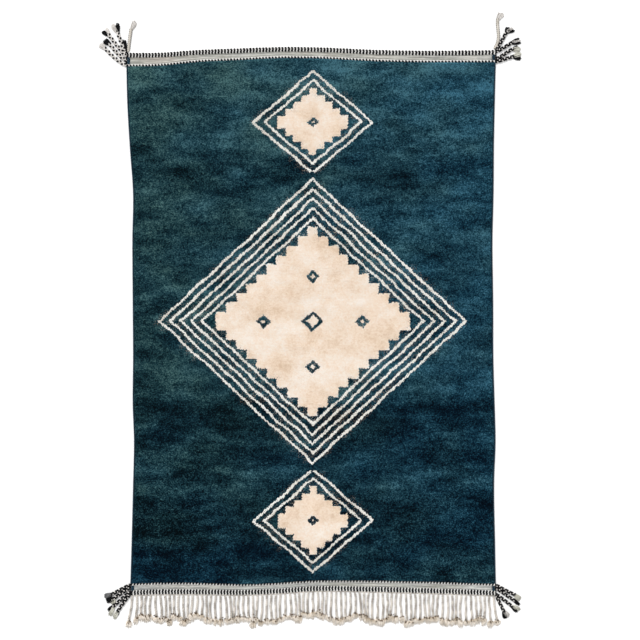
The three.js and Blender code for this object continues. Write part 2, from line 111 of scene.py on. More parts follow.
@dataclass(frozen=True)
class SmoothCurve:
    """A smooth curve through the rows of a short table.

    Between two rows it is the cubic whose slope at a row is that of the line through the row's two neighbours.
    """

    at: tuple[float, ...]
    value: tuple[float, ...]

    def __call__(self, where: Array | float) -> Array:
        """Values of the curve.

        Args:
            where: places along the table's first column; past its ends the end value holds.

        Returns:
            One value for each place.
        """
        at = np.asarray(self.at)
        value = np.asarray(self.value)
        count = len(at)
        before = np.maximum(np.arange(count) - 1, 0)
        after = np.minimum(np.arange(count) + 1, count - 1)
        slope = (value[after] - value[before]) / (at[after] - at[before])
        place = np.clip(where, at[0], at[-1])
        i = np.clip(np.searchsorted(at, place, side="right") - 1, 0, count - 2)
        span = at[i + 1] - at[i]
        s = (place - at[i]) / span
        rise = s * s * (3 - 2 * s)
        lead = s * (1 - s) ** 2 * span * slope[i]
        trail = s * s * (s - 1) * span * slope[i + 1]
        return value[i] + (value[i + 1] - value[i]) * rise + lead + trail


# Y, then X of the left and of the right edge
SIDE_ROWS = (
    (-1510, -1005, 1007), (-1250, -997, 1002), (-900, -988, 996), (-660, -983, 1004), (-450, -990, 999),
    (-200, -988, 992), (100, -990, 991), (440, -992, 987), (700, -988, 993), (960, -1006, 995),
    (1210, -1020, 1000), (1490, -1026, 1007),
)

# X, then the outer edge and the kilim's width at the top, and the same at the bottom
HEADING_ROWS = (
    (-1030, 1477, 37, -1508, 25), (-840, 1478, 34, -1501, 25), (-630, 1493, 28, -1501, 24),
    (-390, 1502, 26, -1504, 20), (-190, 1509, 23, -1497, 20), (-60, 1509, 23, -1487, 19),
    (70, 1506, 23, -1482, 19), (330, 1494, 25, -1487, 22), (600, 1489, 26, -1494, 24),
    (830, 1490, 27, -1501, 24), (1010, 1492, 29, -1508, 25),
)

# X, then how far below the bottom heading the fringe ends
FRINGE_DROPS = (
    (-1004, 190), (-921, 140), (-800, 173), (-757, 155), (-710, 174), (-647, 148), (-510, 179), (-427, 156),
    (-330, 176), (-110, 162), (40, 152), (100, 188), (190, 180), (235, 157), (330, 182), (479, 165),
    (534, 192), (610, 160), (700, 163), (836, 180), (890, 157), (1000, 176),
)


def column(rows: tuple, index: int) -> SmoothCurve:
    """The smooth curve through one column of a table against its first column."""
    return SmoothCurve(tuple(row[0] for row in rows), tuple(row[index] for row in rows))


SIDE_CURVE = {Side.LEFT: column(SIDE_ROWS, 1), Side.RIGHT: column(SIDE_ROWS, 2)}


def side_x(side: Side, y: Array | float) -> Array:
    """X of the rug's outer edge on that side at each Y."""
    return SIDE_CURVE[side](y)


class Heading:
    """One end's bands: outer twining, kilim, inner twining and the pile's own edge, as functions of X."""

    def __init__(self, end: End) -> None:
        """Works out the outer edge and the kilim's width at the shared columns, straight between them.

        Args:
            end: which end of the rug.
        """
        self.end = end
        first = 1 if end is End.TOP else 3
        nominal = -end.value * NOMINAL_END
        self.left = float(side_x(Side.LEFT, nominal)) + HEADING_INSET
        self.right = float(side_x(Side.RIGHT, nominal)) - HEADING_INSET
        self.stations = np.linspace(self.left, self.right, COLUMNS + 1)
        self.edge_values = column(HEADING_ROWS, first)(self.stations)
        self.kilim_values = column(HEADING_ROWS, first + 1)(self.stations)

    def edge(self, side: Side) -> float:
        """X of the heading's end on that side."""
        return self.left if side is Side.LEFT else self.right

    def along(self) -> Array:
        """X at even steps from one end to the other, four for each shared column."""
        return np.linspace(self.left, self.right, COLUMNS * 4 + 1)

    def outer(self, x: Array | float) -> Array:
        """Y of the heading's outer edge."""
        return np.interp(x, self.stations, self.edge_values)

    def kilim_width(self, x: Array | float) -> Array:
        """Width of the kilim band."""
        return np.interp(x, self.stations, self.kilim_values)

    def inwards(self, x: Array | float, distance: Array | float) -> Array:
        """Y at a distance from the outer edge towards the pile."""
        return self.outer(x) + self.end.value * distance

    def kilim_outer(self, x: Array | float) -> Array:
        """Y where the kilim meets the outer twining."""
        return self.inwards(x, OUTER_TWINE_WIDTH)

    def kilim_inner(self, x: Array | float) -> Array:
        """Y where the kilim meets the inner twining."""
        return self.inwards(x, OUTER_TWINE_WIDTH + self.kilim_width(x))

    def pile(self, x: Array | float) -> Array:
        """Y where the inner twining meets the pile."""
        return self.inwards(x, OUTER_TWINE_WIDTH + self.kilim_width(x) + INNER_TWINE_WIDTH)


HEADINGS = {end: Heading(end) for end in End}


@dataclass(frozen=True)
class PilePlan:
    """The outline and the height of the pile cloth."""

    height: float = 19.0
    widest_at: float = 9.0
    rounding: float = 14.0
    lumps: float = 1.3

    def left(self, y: Array) -> Array:
        """X of the pile's left edge, beside the selvedge."""
        return side_x(Side.LEFT, y) + SELVEDGE_WIDTH + GAP

    def right(self, y: Array) -> Array:
        """X of the pile's right edge, beside the selvedge."""
        return side_x(Side.RIGHT, y) - SELVEDGE_WIDTH - GAP

    def low(self, x: Array) -> Array:
        """Y of the pile's edge at the bottom heading."""
        return HEADINGS[End.BOTTOM].pile(x) + GAP / 2

    def high(self, x: Array) -> Array:
        """Y of the pile's edge at the top heading."""
        return HEADINGS[End.TOP].pile(x) - GAP / 2

    def place(self, u: Array, v: Array) -> tuple[Array, Array]:
        """The plan point a share u of the way across and v of the way up.

        The width depends on Y and the length on X, so the two are settled in turn four times.

        Args:
            u: shares across, from 0 at the left edge.
            v: shares along, from 0 at the bottom heading.

        Returns:
            X and Y of each point.
        """
        x = -1000 + 2000 * u
        y = np.zeros_like(x)
        for _ in range(4):
            y = self.low(x) + (self.high(x) - self.low(x)) * v
            x = self.left(y) + (self.right(y) - self.left(y)) * u
        return x, y

    def inside(self, x: Array, y: Array) -> tuple[Array, Array]:
        """Distances from each point to the nearer long side and to the nearer heading."""
        across = np.minimum(x - self.left(y), self.right(y) - x)
        along = np.minimum(y - self.low(x), self.high(x) - y)
        return across, along

    def lump(self, x: Array, y: Array) -> Array:
        """The pile's soft lumps: three crossed waves."""
        broad = np.sin(x / 97 + 0.6) * np.sin(y / 131 + 1.1)
        close = 0.6 * np.sin(x / 53 + y / 71)
        rows = 0.4 * np.sin(y / 39 + 0.4 * np.sin(x / 210))
        return self.lumps * (broad + close + rows) / 2

    def surface(self, x: Array, y: Array) -> Array:
        """Height of the pile: a quarter-circle rim at each edge rises to the lumpy crown."""
        rise = 1.0
        for distance in self.inside(x, y):
            left_over = np.clip(1 - distance / self.rounding, 0, 1)
            rise = rise * np.sqrt(1 - left_over**2)
        crown = self.height + self.lump(x, y)
        return self.widest_at + (crown - self.widest_at) * rise


PLAN = PilePlan()


def soft_field(x: Array, y: Array, size_x: float, size_y: float, seed: int) -> Array:
    """A smooth random field.

    Each corner of a size_x by size_y lattice has a repeatable random height from 0 to 1, and the heights are
    blended with smooth steps between the corners.

    Args:
        x: places across.
        y: places along.
        size_x: the lattice's cell across.
        size_y: the lattice's cell along.
        seed: picks one of the many fields.

    Returns:
        The field from 0 to 1 at each place.
    """
    column_at, row_at = np.floor(x / size_x), np.floor(y / size_y)
    s, t = x / size_x - column_at, y / size_y - row_at
    s, t = s * s * (3 - 2 * s), t * t * (3 - 2 * t)

    def corner(i: Array, j: Array) -> Array:
        """The repeatable random height of one lattice corner."""
        turned = np.sin(i * 12.9898 + j * 78.233 + seed * 37.719) * 43758.5453
        return turned - np.floor(turned)

    low = corner(column_at, row_at) * (1 - s) + corner(column_at + 1, row_at) * s
    high = corner(column_at, row_at + 1) * (1 - s) + corner(column_at + 1, row_at + 1) * s
    return low * (1 - t) + high * t


def scatter(index: Array, seed: int) -> Array:
    """A repeatable number from 0 to 1 for each index and seed."""
    turned = np.sin(index * 12.9898 + seed * 78.233) * 43758.5453
    return turned - np.floor(turned)


def points_at(x: Array | float, y: Array | float, z: Array | float) -> Array:
    """Points from their X, Y and Z, each an array or one number for all."""
    return np.stack(np.broadcast_arrays(x, y, z), axis=-1).astype(float)


class Skin:
    """Points and faces of one piece, gathered from its parts, in millimetres."""

    def __init__(self) -> None:
        """Starts with no points and no faces."""
        self.points: list[Array] = []
        self.faces: list[Array] = []
        self.values: dict[str, list[Array]] = {}
        self.count = 0

    def add(self, points: Array, faces: list[Array], **values: Array) -> None:
        """Adds one part.

        Args:
            points: its points, one row each.
            faces: arrays of faces with equal numbers of corners, whose corners count from this part's first
                point.
            **values: a number for each point, by the name of its attribute.
        """
        flat = np.asarray(points, float).reshape(-1, 3)
        self.points.append(flat)
        self.faces.extend(np.asarray(group) + self.count for group in faces if len(group))
        for name, value in values.items():
            full = np.broadcast_to(np.asarray(value, float), (len(flat),))
            self.values.setdefault(name, []).append(full)
        self.count += len(flat)

    def to_object(self, name: str) -> bpy.types.Object:
        """Makes the smoothly shaded mesh object, linked to the scene, with its place in its mesh."""
        points = np.concatenate(self.points) * METRES
        mesh = bpy.data.meshes.new(name)
        mesh.vertices.add(len(points))
        mesh.vertices.foreach_set("co", points.astype(np.float32).ravel())
        corners = np.concatenate([group.ravel() for group in self.faces])
        sizes = np.concatenate([np.full(len(group), group.shape[1]) for group in self.faces])
        starts = np.concatenate([[0], np.cumsum(sizes)[:-1]])
        mesh.loops.add(len(corners))
        mesh.loops.foreach_set("vertex_index", corners.astype(np.int32))
        mesh.polygons.add(len(sizes))
        mesh.polygons.foreach_set("loop_start", starts.astype(np.int32))
        mesh.polygons.foreach_set("use_smooth", np.full(len(sizes), True))
        mesh.update(calc_edges=True)
        mesh.validate()
        for label, parts in self.values.items():
            layer = mesh.attributes.new(label, "FLOAT", "POINT")
            layer.data.foreach_set("value", np.concatenate(parts).astype(np.float32))
        made = bpy.data.objects.new(name, mesh)
        bpy.context.scene.collection.objects.link(made)
        return made

    def placed(
        self, name: str, finish: bpy.types.Material, slot: str, node: str, mapped: bool = False
    ) -> bpy.types.Object:
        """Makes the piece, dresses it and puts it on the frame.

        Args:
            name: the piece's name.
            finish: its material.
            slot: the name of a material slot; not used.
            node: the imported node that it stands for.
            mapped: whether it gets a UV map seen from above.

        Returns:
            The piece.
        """
        made = self.to_object(name)
        if mapped:
            plan_map(made)
        made.data.materials.append(finish)
        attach(made, "root")
        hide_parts(node)
        LOG.info("%s: %d faces", name, len(made.data.polygons))
        return made


def plan_map(made: bpy.types.Object) -> None:
    """Gives a piece a UV map seen from straight above, which fills the square."""
    mesh = made.data
    points = np.empty(len(mesh.vertices) * 3, np.float32)
    mesh.vertices.foreach_get("co", points)
    flat = points.reshape(-1, 3)[:, :2]
    low, high = flat.min(0), flat.max(0)
    corners = np.empty(len(mesh.loops), np.int32)
    mesh.loops.foreach_get("vertex_index", corners)
    layer = mesh.uv_layers.new(name="OFBake")
    layer.data.foreach_set("uv", ((flat - low) / (high - low))[corners].astype(np.float32).ravel())


def loft(rings: Array) -> tuple[Array, list[Array]]:
    """Closed bodies through rings of points.

    Args:
        rings: an array of bodies, rings, ring points and XYZ. A ring runs anticlockwise seen from the body's end
            towards its start.

    Returns:
        The points and the faces: a quad between each two ring points and the next ring's, and one face over
        each end, all turned outwards.
    """
    bodies, count, around, _ = rings.shape
    index = np.arange(bodies * count * around).reshape(bodies, count, around)
    a, b = index[:, :-1, :], index[:, 1:, :]
    quads = np.stack([a, np.roll(a, -1, axis=2), np.roll(b, -1, axis=2), b], axis=-1).reshape(-1, 4)
    first = index[:, 0, ::-1].reshape(-1, around)
    last = index[:, -1, :].reshape(-1, around)
    points = rings.reshape(-1, 3)
    middle = rings.mean(axis=(1, 2))
    p = points[quads] - np.repeat(middle, (count - 1) * around, axis=0)[:, None, :]
    volume = np.einsum("ij,ij->", p[:, 0], np.cross(p[:, 1], p[:, 2]))
    groups = [quads, first, last]
    if volume < 0:
        groups = [group[:, ::-1] for group in groups]
    return points, groups


def tubes(
    path: Array, width: Array | float, height: Array | float, around: int, turn: Array | float = 0.0
) -> Array:
    """Rings of an oval section carried along paths.

    At each point of a path the ring lies square to it: its width runs level and its height upwards.

    Args:
        path: an array of paths, points and XYZ.
        width: the section's width, for all or for each point of each path.
        height: its height, likewise.
        around: the points of a ring.
        turn: how far each ring is turned in its own plane, in radians.

    Returns:
        An array of paths, rings, ring points and XYZ.
    """
    along = np.gradient(path, axis=1)
    along /= np.linalg.norm(along, axis=-1, keepdims=True)
    across = np.cross(along, np.array([0.0, 0.0, 1.0]))
    across /= np.maximum(np.linalg.norm(across, axis=-1, keepdims=True), 1e-6)
    lift = np.cross(across, along)
    shape = path.shape[:2]
    half_width = np.broadcast_to(np.asarray(width, float) / 2, shape)[..., None, None]
    half_height = np.broadcast_to(np.asarray(height, float) / 2, shape)[..., None, None]
    angle = np.linspace(0, 2 * np.pi, around, endpoint=False) + np.broadcast_to(turn, shape)[..., None]
    angle = angle[..., None]
    sideways = across[:, :, None, :] * np.cos(angle) * half_width
    upwards = lift[:, :, None, :] * np.sin(angle) * half_height
    return path[:, :, None, :] + sideways + upwards


def beads(
    centre: Array, half: Array, heading: Array, around: int = 6, rings: int = 3
) -> tuple[Array, list[Array]]:
    """Egg-shaped stitches.

    A bead's point is its centre plus the three half sizes times a point of the unit sphere, turned by its
    heading about Z. Each has a pole at both tips of its long axis and rings between.

    Args:
        centre: XYZ of each bead.
        half: half its length, width and height, for each bead.
        heading: the direction of its long axis from +X, in radians.
        around: the points of a ring.
        rings: the rings between the two poles.

    Returns:
        The points and the faces.
    """
    angle = np.linspace(0, 2 * np.pi, around, endpoint=False)
    down = np.linspace(0, np.pi, rings + 2)[1:-1]
    ring = np.stack(
        [
            np.repeat(np.cos(down), around),
            np.outer(np.sin(down), np.cos(angle)).ravel(),
            np.outer(np.sin(down), np.sin(angle)).ravel(),
        ],
        axis=-1,
    )
    unit = np.concatenate([[[1.0, 0, 0]], ring, [[-1.0, 0, 0]]])
    scaled = unit[None] * half[:, None, :]
    cos, sin = np.cos(heading)[:, None], np.sin(heading)[:, None]
    turned = np.stack(
        [
            scaled[..., 0] * cos - scaled[..., 1] * sin,
            scaled[..., 0] * sin + scaled[..., 1] * cos,
            scaled[..., 2],
        ],
        axis=-1,
    )
    points = (turned + centre[:, None, :]).reshape(-1, 3)
    i = np.arange(around)
    after = (i + 1) % around
    tip = len(unit) - 1
    fans = [np.stack([np.zeros_like(i), 1 + i, 1 + after], axis=-1)]
    last = 1 + (rings - 1) * around
    fans.append(np.stack([np.full_like(i, tip), last + after, last + i], axis=-1))
    start = (1 + np.arange(rings - 1) * around)[:, None]
    below = start + around
    quads = np.stack([start + i, below + i, below + after, start + after], axis=-1).reshape(-1, 4)
    offset = (np.arange(len(centre)) * len(unit))[:, None, None]
    triangles = (np.concatenate(fans)[None] + offset).reshape(-1, 3)
    return points, [triangles, (quads[None] + offset).reshape(-1, 4)]


def linear(colour: Colour) -> tuple[float, float, float, float]:
    """A colour of 0 to 255 as the eye sees it, turned into Blender's linear colour with an alpha."""
    share = np.asarray(colour, float) / 255
    low, high = share / 12.92, ((share + 0.055) / 1.055) ** 2.4
    red, green, blue = np.where(share <= 0.04045, low, high)
    return float(red), float(green), float(blue), 1.0


class FinishNodes:
    """Short ways to add and join the nodes of one material."""

    def __init__(self, name: str, roughness: float, sheen: float = 0.0, gloss: float = 0.1) -> None:
        """Starts a material with one shader.

        Args:
            name: the material's name.
            roughness: the shader's roughness.
            sheen: the weight of its soft fibre sheen.
            gloss: how strongly it mirrors light, where 0.5 is plain plastic.
        """
        self.material = bpy.data.materials.new(name)
        self.material.use_nodes = True
        self.tree = self.material.node_tree
        self.tree.nodes.clear()
        self.out = self.tree.nodes.new("ShaderNodeOutputMaterial")
        self.shader = self.tree.nodes.new("ShaderNodeBsdfPrincipled")
        self.shader.inputs["Roughness"].default_value = roughness
        self.shader.inputs["Specular IOR Level"].default_value = gloss
        self.shader.inputs["Sheen Weight"].default_value = sheen
        self.join(self.shader.outputs[0], self.out.inputs[0])
        self.place = self.tree.nodes.new("ShaderNodeTexCoord").outputs["Object"]

    def join(self, source: bpy.types.NodeSocket, target: bpy.types.NodeSocket) -> None:
        """Links two sockets."""
        self.tree.links.new(source, target)

    def feed(self, target: bpy.types.NodeSocket, value: object) -> None:
        """Links a socket, or sets a plain value, on an input."""
        if isinstance(value, bpy.types.NodeSocket):
            self.join(value, target)
        else:
            target.default_value = value

    def stretched(self, scale: Triple, shift: Triple):
        """The object's own place, scaled along each axis and shifted."""
        node = self.tree.nodes.new("ShaderNodeMapping")
        node.inputs["Scale"].default_value = scale
        node.inputs["Location"].default_value = shift
        self.join(self.place, node.inputs["Vector"])
        return node.outputs[0]

    def noise(self, where: bpy.types.NodeSocket, scale: float, detail: float, rough: float):
        """A cloudy pattern from 0 to 1 at the places given."""
        node = self.tree.nodes.new("ShaderNodeTexNoise")
        node.inputs["Scale"].default_value = scale
        node.inputs["Detail"].default_value = detail
        node.inputs["Roughness"].default_value = rough
        self.join(where, node.inputs["Vector"])
        return node.outputs["Fac"]

    def cloud(
        self, scale: float, detail: float, rough: float, stretch: Triple = (1, 1, 1), shift: Triple = (0, 0, 0)
    ):
        """A cloudy pattern from 0 to 1 on the object's own place, stretched along each axis and shifted."""
        return self.noise(self.stretched(stretch, shift), scale, detail, rough)

    def sums(self, operation: str, *values: object, clamp: bool = False):
        """One arithmetic node on one to three values or sockets."""
        node = self.tree.nodes.new("ShaderNodeMath")
        node.operation = operation
        node.use_clamp = clamp
        for target, value in zip(node.inputs, values):
            self.feed(target, value)
        return node.outputs[0]

    def total(self, *values: object, clamp: bool = False):
        """The sum of some values or sockets, added in order."""
        total = values[0]
        for value in values[1:-1]:
            total = self.sums("ADD", total, value)
        return self.sums("ADD", total, values[-1], clamp=clamp)

    def swing(self, pattern: bpy.types.NodeSocket, depth: float):
        """A pattern of 0 to 1 as a swing about zero, depth times as strong."""
        return self.sums("MULTIPLY_ADD", pattern, depth, -depth / 2)

    def part(self, axis: str):
        """One of X, Y and Z of the object's own place, in metres."""
        node = self.tree.nodes.new("ShaderNodeSeparateXYZ")
        self.join(self.place, node.inputs[0])
        return node.outputs[axis]

    def joined(self, across: object, along: object):
        """A place in a plane, from two numbers or sockets."""
        node = self.tree.nodes.new("ShaderNodeCombineXYZ")
        self.feed(node.inputs[0], across)
        self.feed(node.inputs[1], along)
        return node.outputs[0]

    def attribute(self, name: str):
        """A number that the mesh carries at its points."""
        node = self.tree.nodes.new("ShaderNodeAttribute")
        node.attribute_name = name
        return node.outputs["Fac"]

    def ramp(self, share: bpy.types.NodeSocket, *stops: tuple[float, Colour]):
        """Colours of 0 to 255 along a share from 0 to 1."""
        return self.marked(share, [(at, linear(colour)) for at, colour in stops])

    def levels(self, share: bpy.types.NodeSocket, *stops: tuple[float, float]):
        """Plain levels from 0 to 1 along a share from 0 to 1."""
        return self.marked(share, [(at, (level, level, level, 1.0)) for at, level in stops])

    def marked(self, share: bpy.types.NodeSocket, stops: list[tuple[float, tuple[float, ...]]]):
        """Linear colours with an alpha along a share from 0 to 1."""
        node = self.tree.nodes.new("ShaderNodeValToRGB")
        marks = node.color_ramp.elements
        for index, (at, colour) in enumerate(stops):
            mark = marks[index] if index < 2 else marks.new(at)
            mark.position = at
            mark.color = colour
        self.join(share, node.inputs[0])
        return node.outputs[0]

    def blend(self, share: object, first: object, second: object):
        """A mix of two colours or colour sockets."""
        node = self.tree.nodes.new("ShaderNodeMix")
        node.data_type = "RGBA"
        self.feed(node.inputs[0], share)
        self.feed(node.inputs[6], first)
        self.feed(node.inputs[7], second)
        return node.outputs[2]

    def bump(self, height: bpy.types.NodeSocket, depth: float) -> None:
        """Raises fine relief on the shader, its depth in metres."""
        node = self.tree.nodes.new("ShaderNodeBump")
        node.inputs["Distance"].default_value = depth
        node.inputs["Strength"].default_value = 1.0
        self.join(height, node.inputs["Height"])
        self.join(node.outputs[0], self.shader.inputs["Normal"])

    def spun(self, clouds: float, detail: float, fibres: float):
        """A spun yarn's shade from 0 to 1: clouds and fine fibres of those scales, the fibres in relief too."""
        cloudy = self.cloud(clouds, detail, 0.6, shift=(4, 2, 1))
        fine = self.cloud(fibres, 2, 0.6)
        self.bump(fine, 0.0006)
        return self.sums("ADD", self.sums("MULTIPLY", cloudy, 0.6), self.sums("MULTIPLY", fine, 0.4))

    def colour(self, source: bpy.types.NodeSocket) -> bpy.types.Material:
        """Links the colour and returns the finished material."""
        self.join(source, self.shader.inputs["Base Color"])
        return self.material


# The dye lots along the rug: Y in millimetres and how light the dye took there, from 0 to 1
DYE_LOTS = (
    (-1420, 0.31), (-1290, 0.27), (-1180, 0.25), (-1110, 0.31), (-1060, 0.21), (-1000, 0.24), (-960, 0.39),
    (-915, 0.43), (-850, 0.38), (-783, 0.43), (-717, 0.33), (-651, 0.34), (-530, 0.21), (-460, 0.28),
    (-405, 0.49), (-110, 0.51), (-60, 0.37), (0, 0.45), (140, 0.47), (270, 0.50), (640, 0.50), (735, 0.47),
    (797, 0.37), (863, 0.44), (930, 0.54), (1060, 0.63), (1130, 0.57), (1192, 0.53), (1258, 0.63),
    (1400, 0.66),
)


@dataclass(frozen=True)
class DyedWool:
    """The teal pile yarn, with its uneven dye.

    How light the dye took is the dye lot at that Y, its edge wavering by some centimetres, plus soft sideways
    clouds, small flecks and each knot's own shade. A ramp turns that into colour: greener to the left and
    bluer to the right.
    """

    name: str = "teal_pile_wool"
    reach: float = 1.5
    greener: Stops = (
        (0, (3, 14, 19)), (0.25, (13, 40, 49)), (0.5, (35, 68, 75)), (0.75, (64, 98, 100)), (1, (92, 130, 128)),
    )
    bluer: Stops = (
        (0, (2, 13, 26)), (0.25, (8, 38, 55)), (0.5, (26, 65, 83)), (0.75, (48, 94, 114)), (1, (73, 127, 149)),
    )
    # The scale, strength, stretch and shift of each layer of clouds
    clouds: tuple[tuple[float, float, Triple, Triple], ...] = (
        (5.0, 0.85, (0.7, 2.0, 1), (0, 0, 0)),
        (13, 0.62, (0.7, 1.8, 1), (8, 2, 0)),
        (44, 0.28, (1.0, 1.3, 1), (3, 5, 0)),
        (130, 1.30, (1.0, 1.2, 1), (6, 4, 0)),
    )
    lift_to_right: float = 0.06
    foot_lift_to_right: float = 0.11
    knot_shades: float = 0.54

    def along(self, nodes: FinishNodes, y: object) -> bpy.types.NodeSocket:
        """The share, from 0 to 1, of a Y in metres along the dye lots."""
        return nodes.sums("MULTIPLY_ADD", y, 1 / (2 * self.reach), 0.5)

    def foot(self, nodes: FinishNodes) -> bpy.types.NodeSocket:
        """The last dye lot above the bottom heading, 1 there and 0 above it: darker and bluer on its left side."""
        return nodes.levels(self.along(nodes, nodes.part("Y")), (0.075, 1.0), (0.105, 0.0))

    def amount(self, nodes: FinishNodes) -> bpy.types.NodeSocket:
        """How light the dye is at each place, from 0 to 1."""
        waver = nodes.swing(nodes.cloud(1.6, 3, 0.6, (1.6, 0.9, 1)), 0.08)
        share = self.along(nodes, nodes.sums("ADD", nodes.part("Y"), waver))
        stops = [((y * METRES + self.reach) / (2 * self.reach), level) for y, level in DYE_LOTS]
        x = nodes.part("X")
        return nodes.total(
            nodes.levels(share, *stops),
            nodes.sums("MULTIPLY", nodes.sums("MULTIPLY", x, self.lift_to_right), share),
            nodes.sums("MULTIPLY", nodes.sums("MULTIPLY", x, self.foot_lift_to_right), self.foot(nodes)),
            *(nodes.swing(nodes.cloud(scale, 1, 0.5, *lie), depth) for scale, depth, *lie in self.clouds),
            nodes.swing(nodes.attribute("shade"), self.knot_shades),
            clamp=True,
        )

    def dye(self, nodes: FinishNodes) -> bpy.types.NodeSocket:
        """The dyed colour at each place."""
        amount = self.amount(nodes)
        green = nodes.ramp(amount, *self.greener)
        blue = nodes.ramp(amount, *self.bluer)
        drift = nodes.swing(nodes.cloud(3.0, 2, 0.5, (1, 1.5, 1), (7, 1, 0)), 1.6)
        across = nodes.sums("MULTIPLY_ADD", nodes.part("X"), 0.42, 0.5)
        turned = nodes.sums("MULTIPLY_ADD", nodes.part("X"), -0.72, 0.22)
        across = nodes.sums("MULTIPLY_ADD", turned, self.foot(nodes), across)
        return nodes.blend(nodes.sums("ADD", across, drift, clamp=True), green, blue)

    def material(self) -> bpy.types.Material:
        """The finished material."""
        nodes = FinishNodes(self.name, 0.95, gloss=0.04)
        return nodes.colour(self.dye(nodes))


@dataclass(frozen=True)
class CreamWool:
    """The undyed cream pile yarn: warm with faint clouds of straw, and a paler yarn for the thin lines."""

    name: str = "cream_pile_wool"
    warm: Stops = ((0.0, (230, 204, 176)), (0.5, (249, 231, 212)), (1.0, (255, 246, 236)))
    pale: Stops = ((0.0, (218, 213, 204)), (0.5, (240, 238, 231)), (1.0, (253, 252, 248)))
    knot_shades: float = 0.3

    def tone(self, nodes: FinishNodes) -> bpy.types.NodeSocket:
        """The cream colour at each place."""
        broad = nodes.sums("MULTIPLY_ADD", nodes.cloud(5, 4, 0.65, (1, 1.1, 1), (2, 9, 0)), 2.3, -0.55)
        flecks = nodes.swing(nodes.cloud(90, 2, 0.6, (1.0, 1.2, 1), (6, 4, 0)), 1.0)
        share = nodes.total(broad, flecks, nodes.swing(nodes.attribute("shade"), self.knot_shades), clamp=True)
        return nodes.blend(nodes.attribute("pale"), nodes.ramp(share, *self.warm), nodes.ramp(share, *self.pale))

    def material(self) -> bpy.types.Material:
        """The finished material."""
        nodes = FinishNodes(self.name, 0.9, sheen=0.05)
        return nodes.colour(self.tone(nodes))


@dataclass(frozen=True)
class GroundCloth:
    """The woven ground and the knots' feet: the colour of the yarn that stands there, a little deeper, as painted
    shade between the tufts.
    """

    name: str = "pile_ground_wool"

    def material(self) -> bpy.types.Material:
        """The finished material, mixed by the share of cream at each point."""
        nodes = FinishNodes(self.name, 0.95)
        nodes.bump(nodes.cloud(260, 2, 0.5), 0.0008)
        return nodes.colour(nodes.blend(nodes.attribute("cream"), DyedWool().dye(nodes), CreamWool().tone(nodes)))


@dataclass(frozen=True)
class SpunYarn:
    """A spun yarn of one colour, with fine fibre lines and a slightly uneven shade."""

    name: str
    dark: Colour
    light: Colour
    fibres: float = 350.0
    roughness: float = 0.85

    def material(self) -> bpy.types.Material:
        """The finished material."""
        nodes = FinishNodes(self.name, self.roughness)
        return nodes.colour(nodes.ramp(nodes.spun(30, 3, self.fibres), (0.25, self.dark), (0.75, self.light)))


@dataclass(frozen=True)
class FringeWool:
    """The warp yarn of the fringe: off-white cords, dark-brown specks round their knots that paint the knots'
    shadows, and pale fluffed ends painted a little darker near the knot as its shade.
    """

    name: str = "warp_fringe_yarn"
    # The stop at 0.50 is dark brown: painted shadow round the knots, on the small specks there. The fluffed ends
    # run from 0.56 at the knot to 1 at their tips and are painted darker near the knot, as its shade, most in the
    # shaded stops. The knots' two turns, at 0.445 and 0.46, take a little of that brown, the lower turn more.
    pale: Stops = (
        (0.0, (214, 208, 200)), (0.44, (212, 204, 195)), (0.50, (96, 74, 50)), (0.56, (246, 235, 221)),
        (1.0, (252, 245, 236)),
    )
    shaded: Stops = (
        (0.0, (158, 152, 145)), (0.44, (155, 147, 137)), (0.50, (62, 46, 30)), (0.56, (194, 177, 155)),
        (1.0, (232, 222, 208)),
    )

    def material(self) -> bpy.types.Material:
        """The finished material, which follows each strand from its root, 0, past its knot, 0.5, to its end, 1."""
        nodes = FinishNodes(self.name, 0.9)
        down = nodes.attribute("down")
        picked = nodes.levels(nodes.spun(26, 2, 300), (0.42, 0.0), (0.56, 1.0))
        return nodes.colour(nodes.blend(picked, nodes.ramp(down, *self.shaded), nodes.ramp(down, *self.pale)))


@dataclass(frozen=True)
class KilimWeave:
    """The flat weave of the headings: grey weft in long streaks, bluish here and rosy there."""

    name: str = "kilim_weft_wool"
    greys: Stops = (
        (0.10, (86, 82, 78)), (0.36, (135, 134, 128)), (0.54, (167, 166, 159)), (0.82, (221, 218, 211)),
    )
    tints: Stops = ((0.15, (162, 168, 171)), (0.5, (167, 167, 158)), (0.85, (188, 172, 161)))
    across_levels: tuple[tuple[float, float], ...] = (
        (0.0, 0.50), (0.55, 0.56), (0.72, 0.50), (0.86, 0.36), (1.0, 0.40),
    )
    tinting: float = 0.3

    def material(self) -> bpy.types.Material:
        """The finished material, whose lines follow the weft by each point's share across the band."""
        nodes = FinishNodes(self.name, 0.9)
        across = nodes.attribute("across")
        weft = nodes.joined(nodes.sums("MULTIPLY", nodes.part("X"), 2.6), nodes.sums("MULTIPLY", across, 4.2))
        streaks = nodes.swing(nodes.noise(weft, 1.5, 2, 0.55), 1.9)
        picks = nodes.cloud(120, 2, 0.6, (0.3, 1.2, 1))
        nodes.bump(picks, 0.0008)
        share = nodes.total(streaks, nodes.swing(picks, 0.7), nodes.levels(across, *self.across_levels))
        warm = nodes.sums("MULTIPLY_ADD", nodes.cloud(7, 2, 0.5, (0.6, 1.6, 1), (9, 9, 0)), 1.6, -0.4)
        tint = nodes.ramp(nodes.sums("MULTIPLY_ADD", nodes.part("Y"), 0.10, warm), *self.tints)
        return nodes.colour(nodes.blend(self.tinting, nodes.ramp(share, *self.greys), tint))


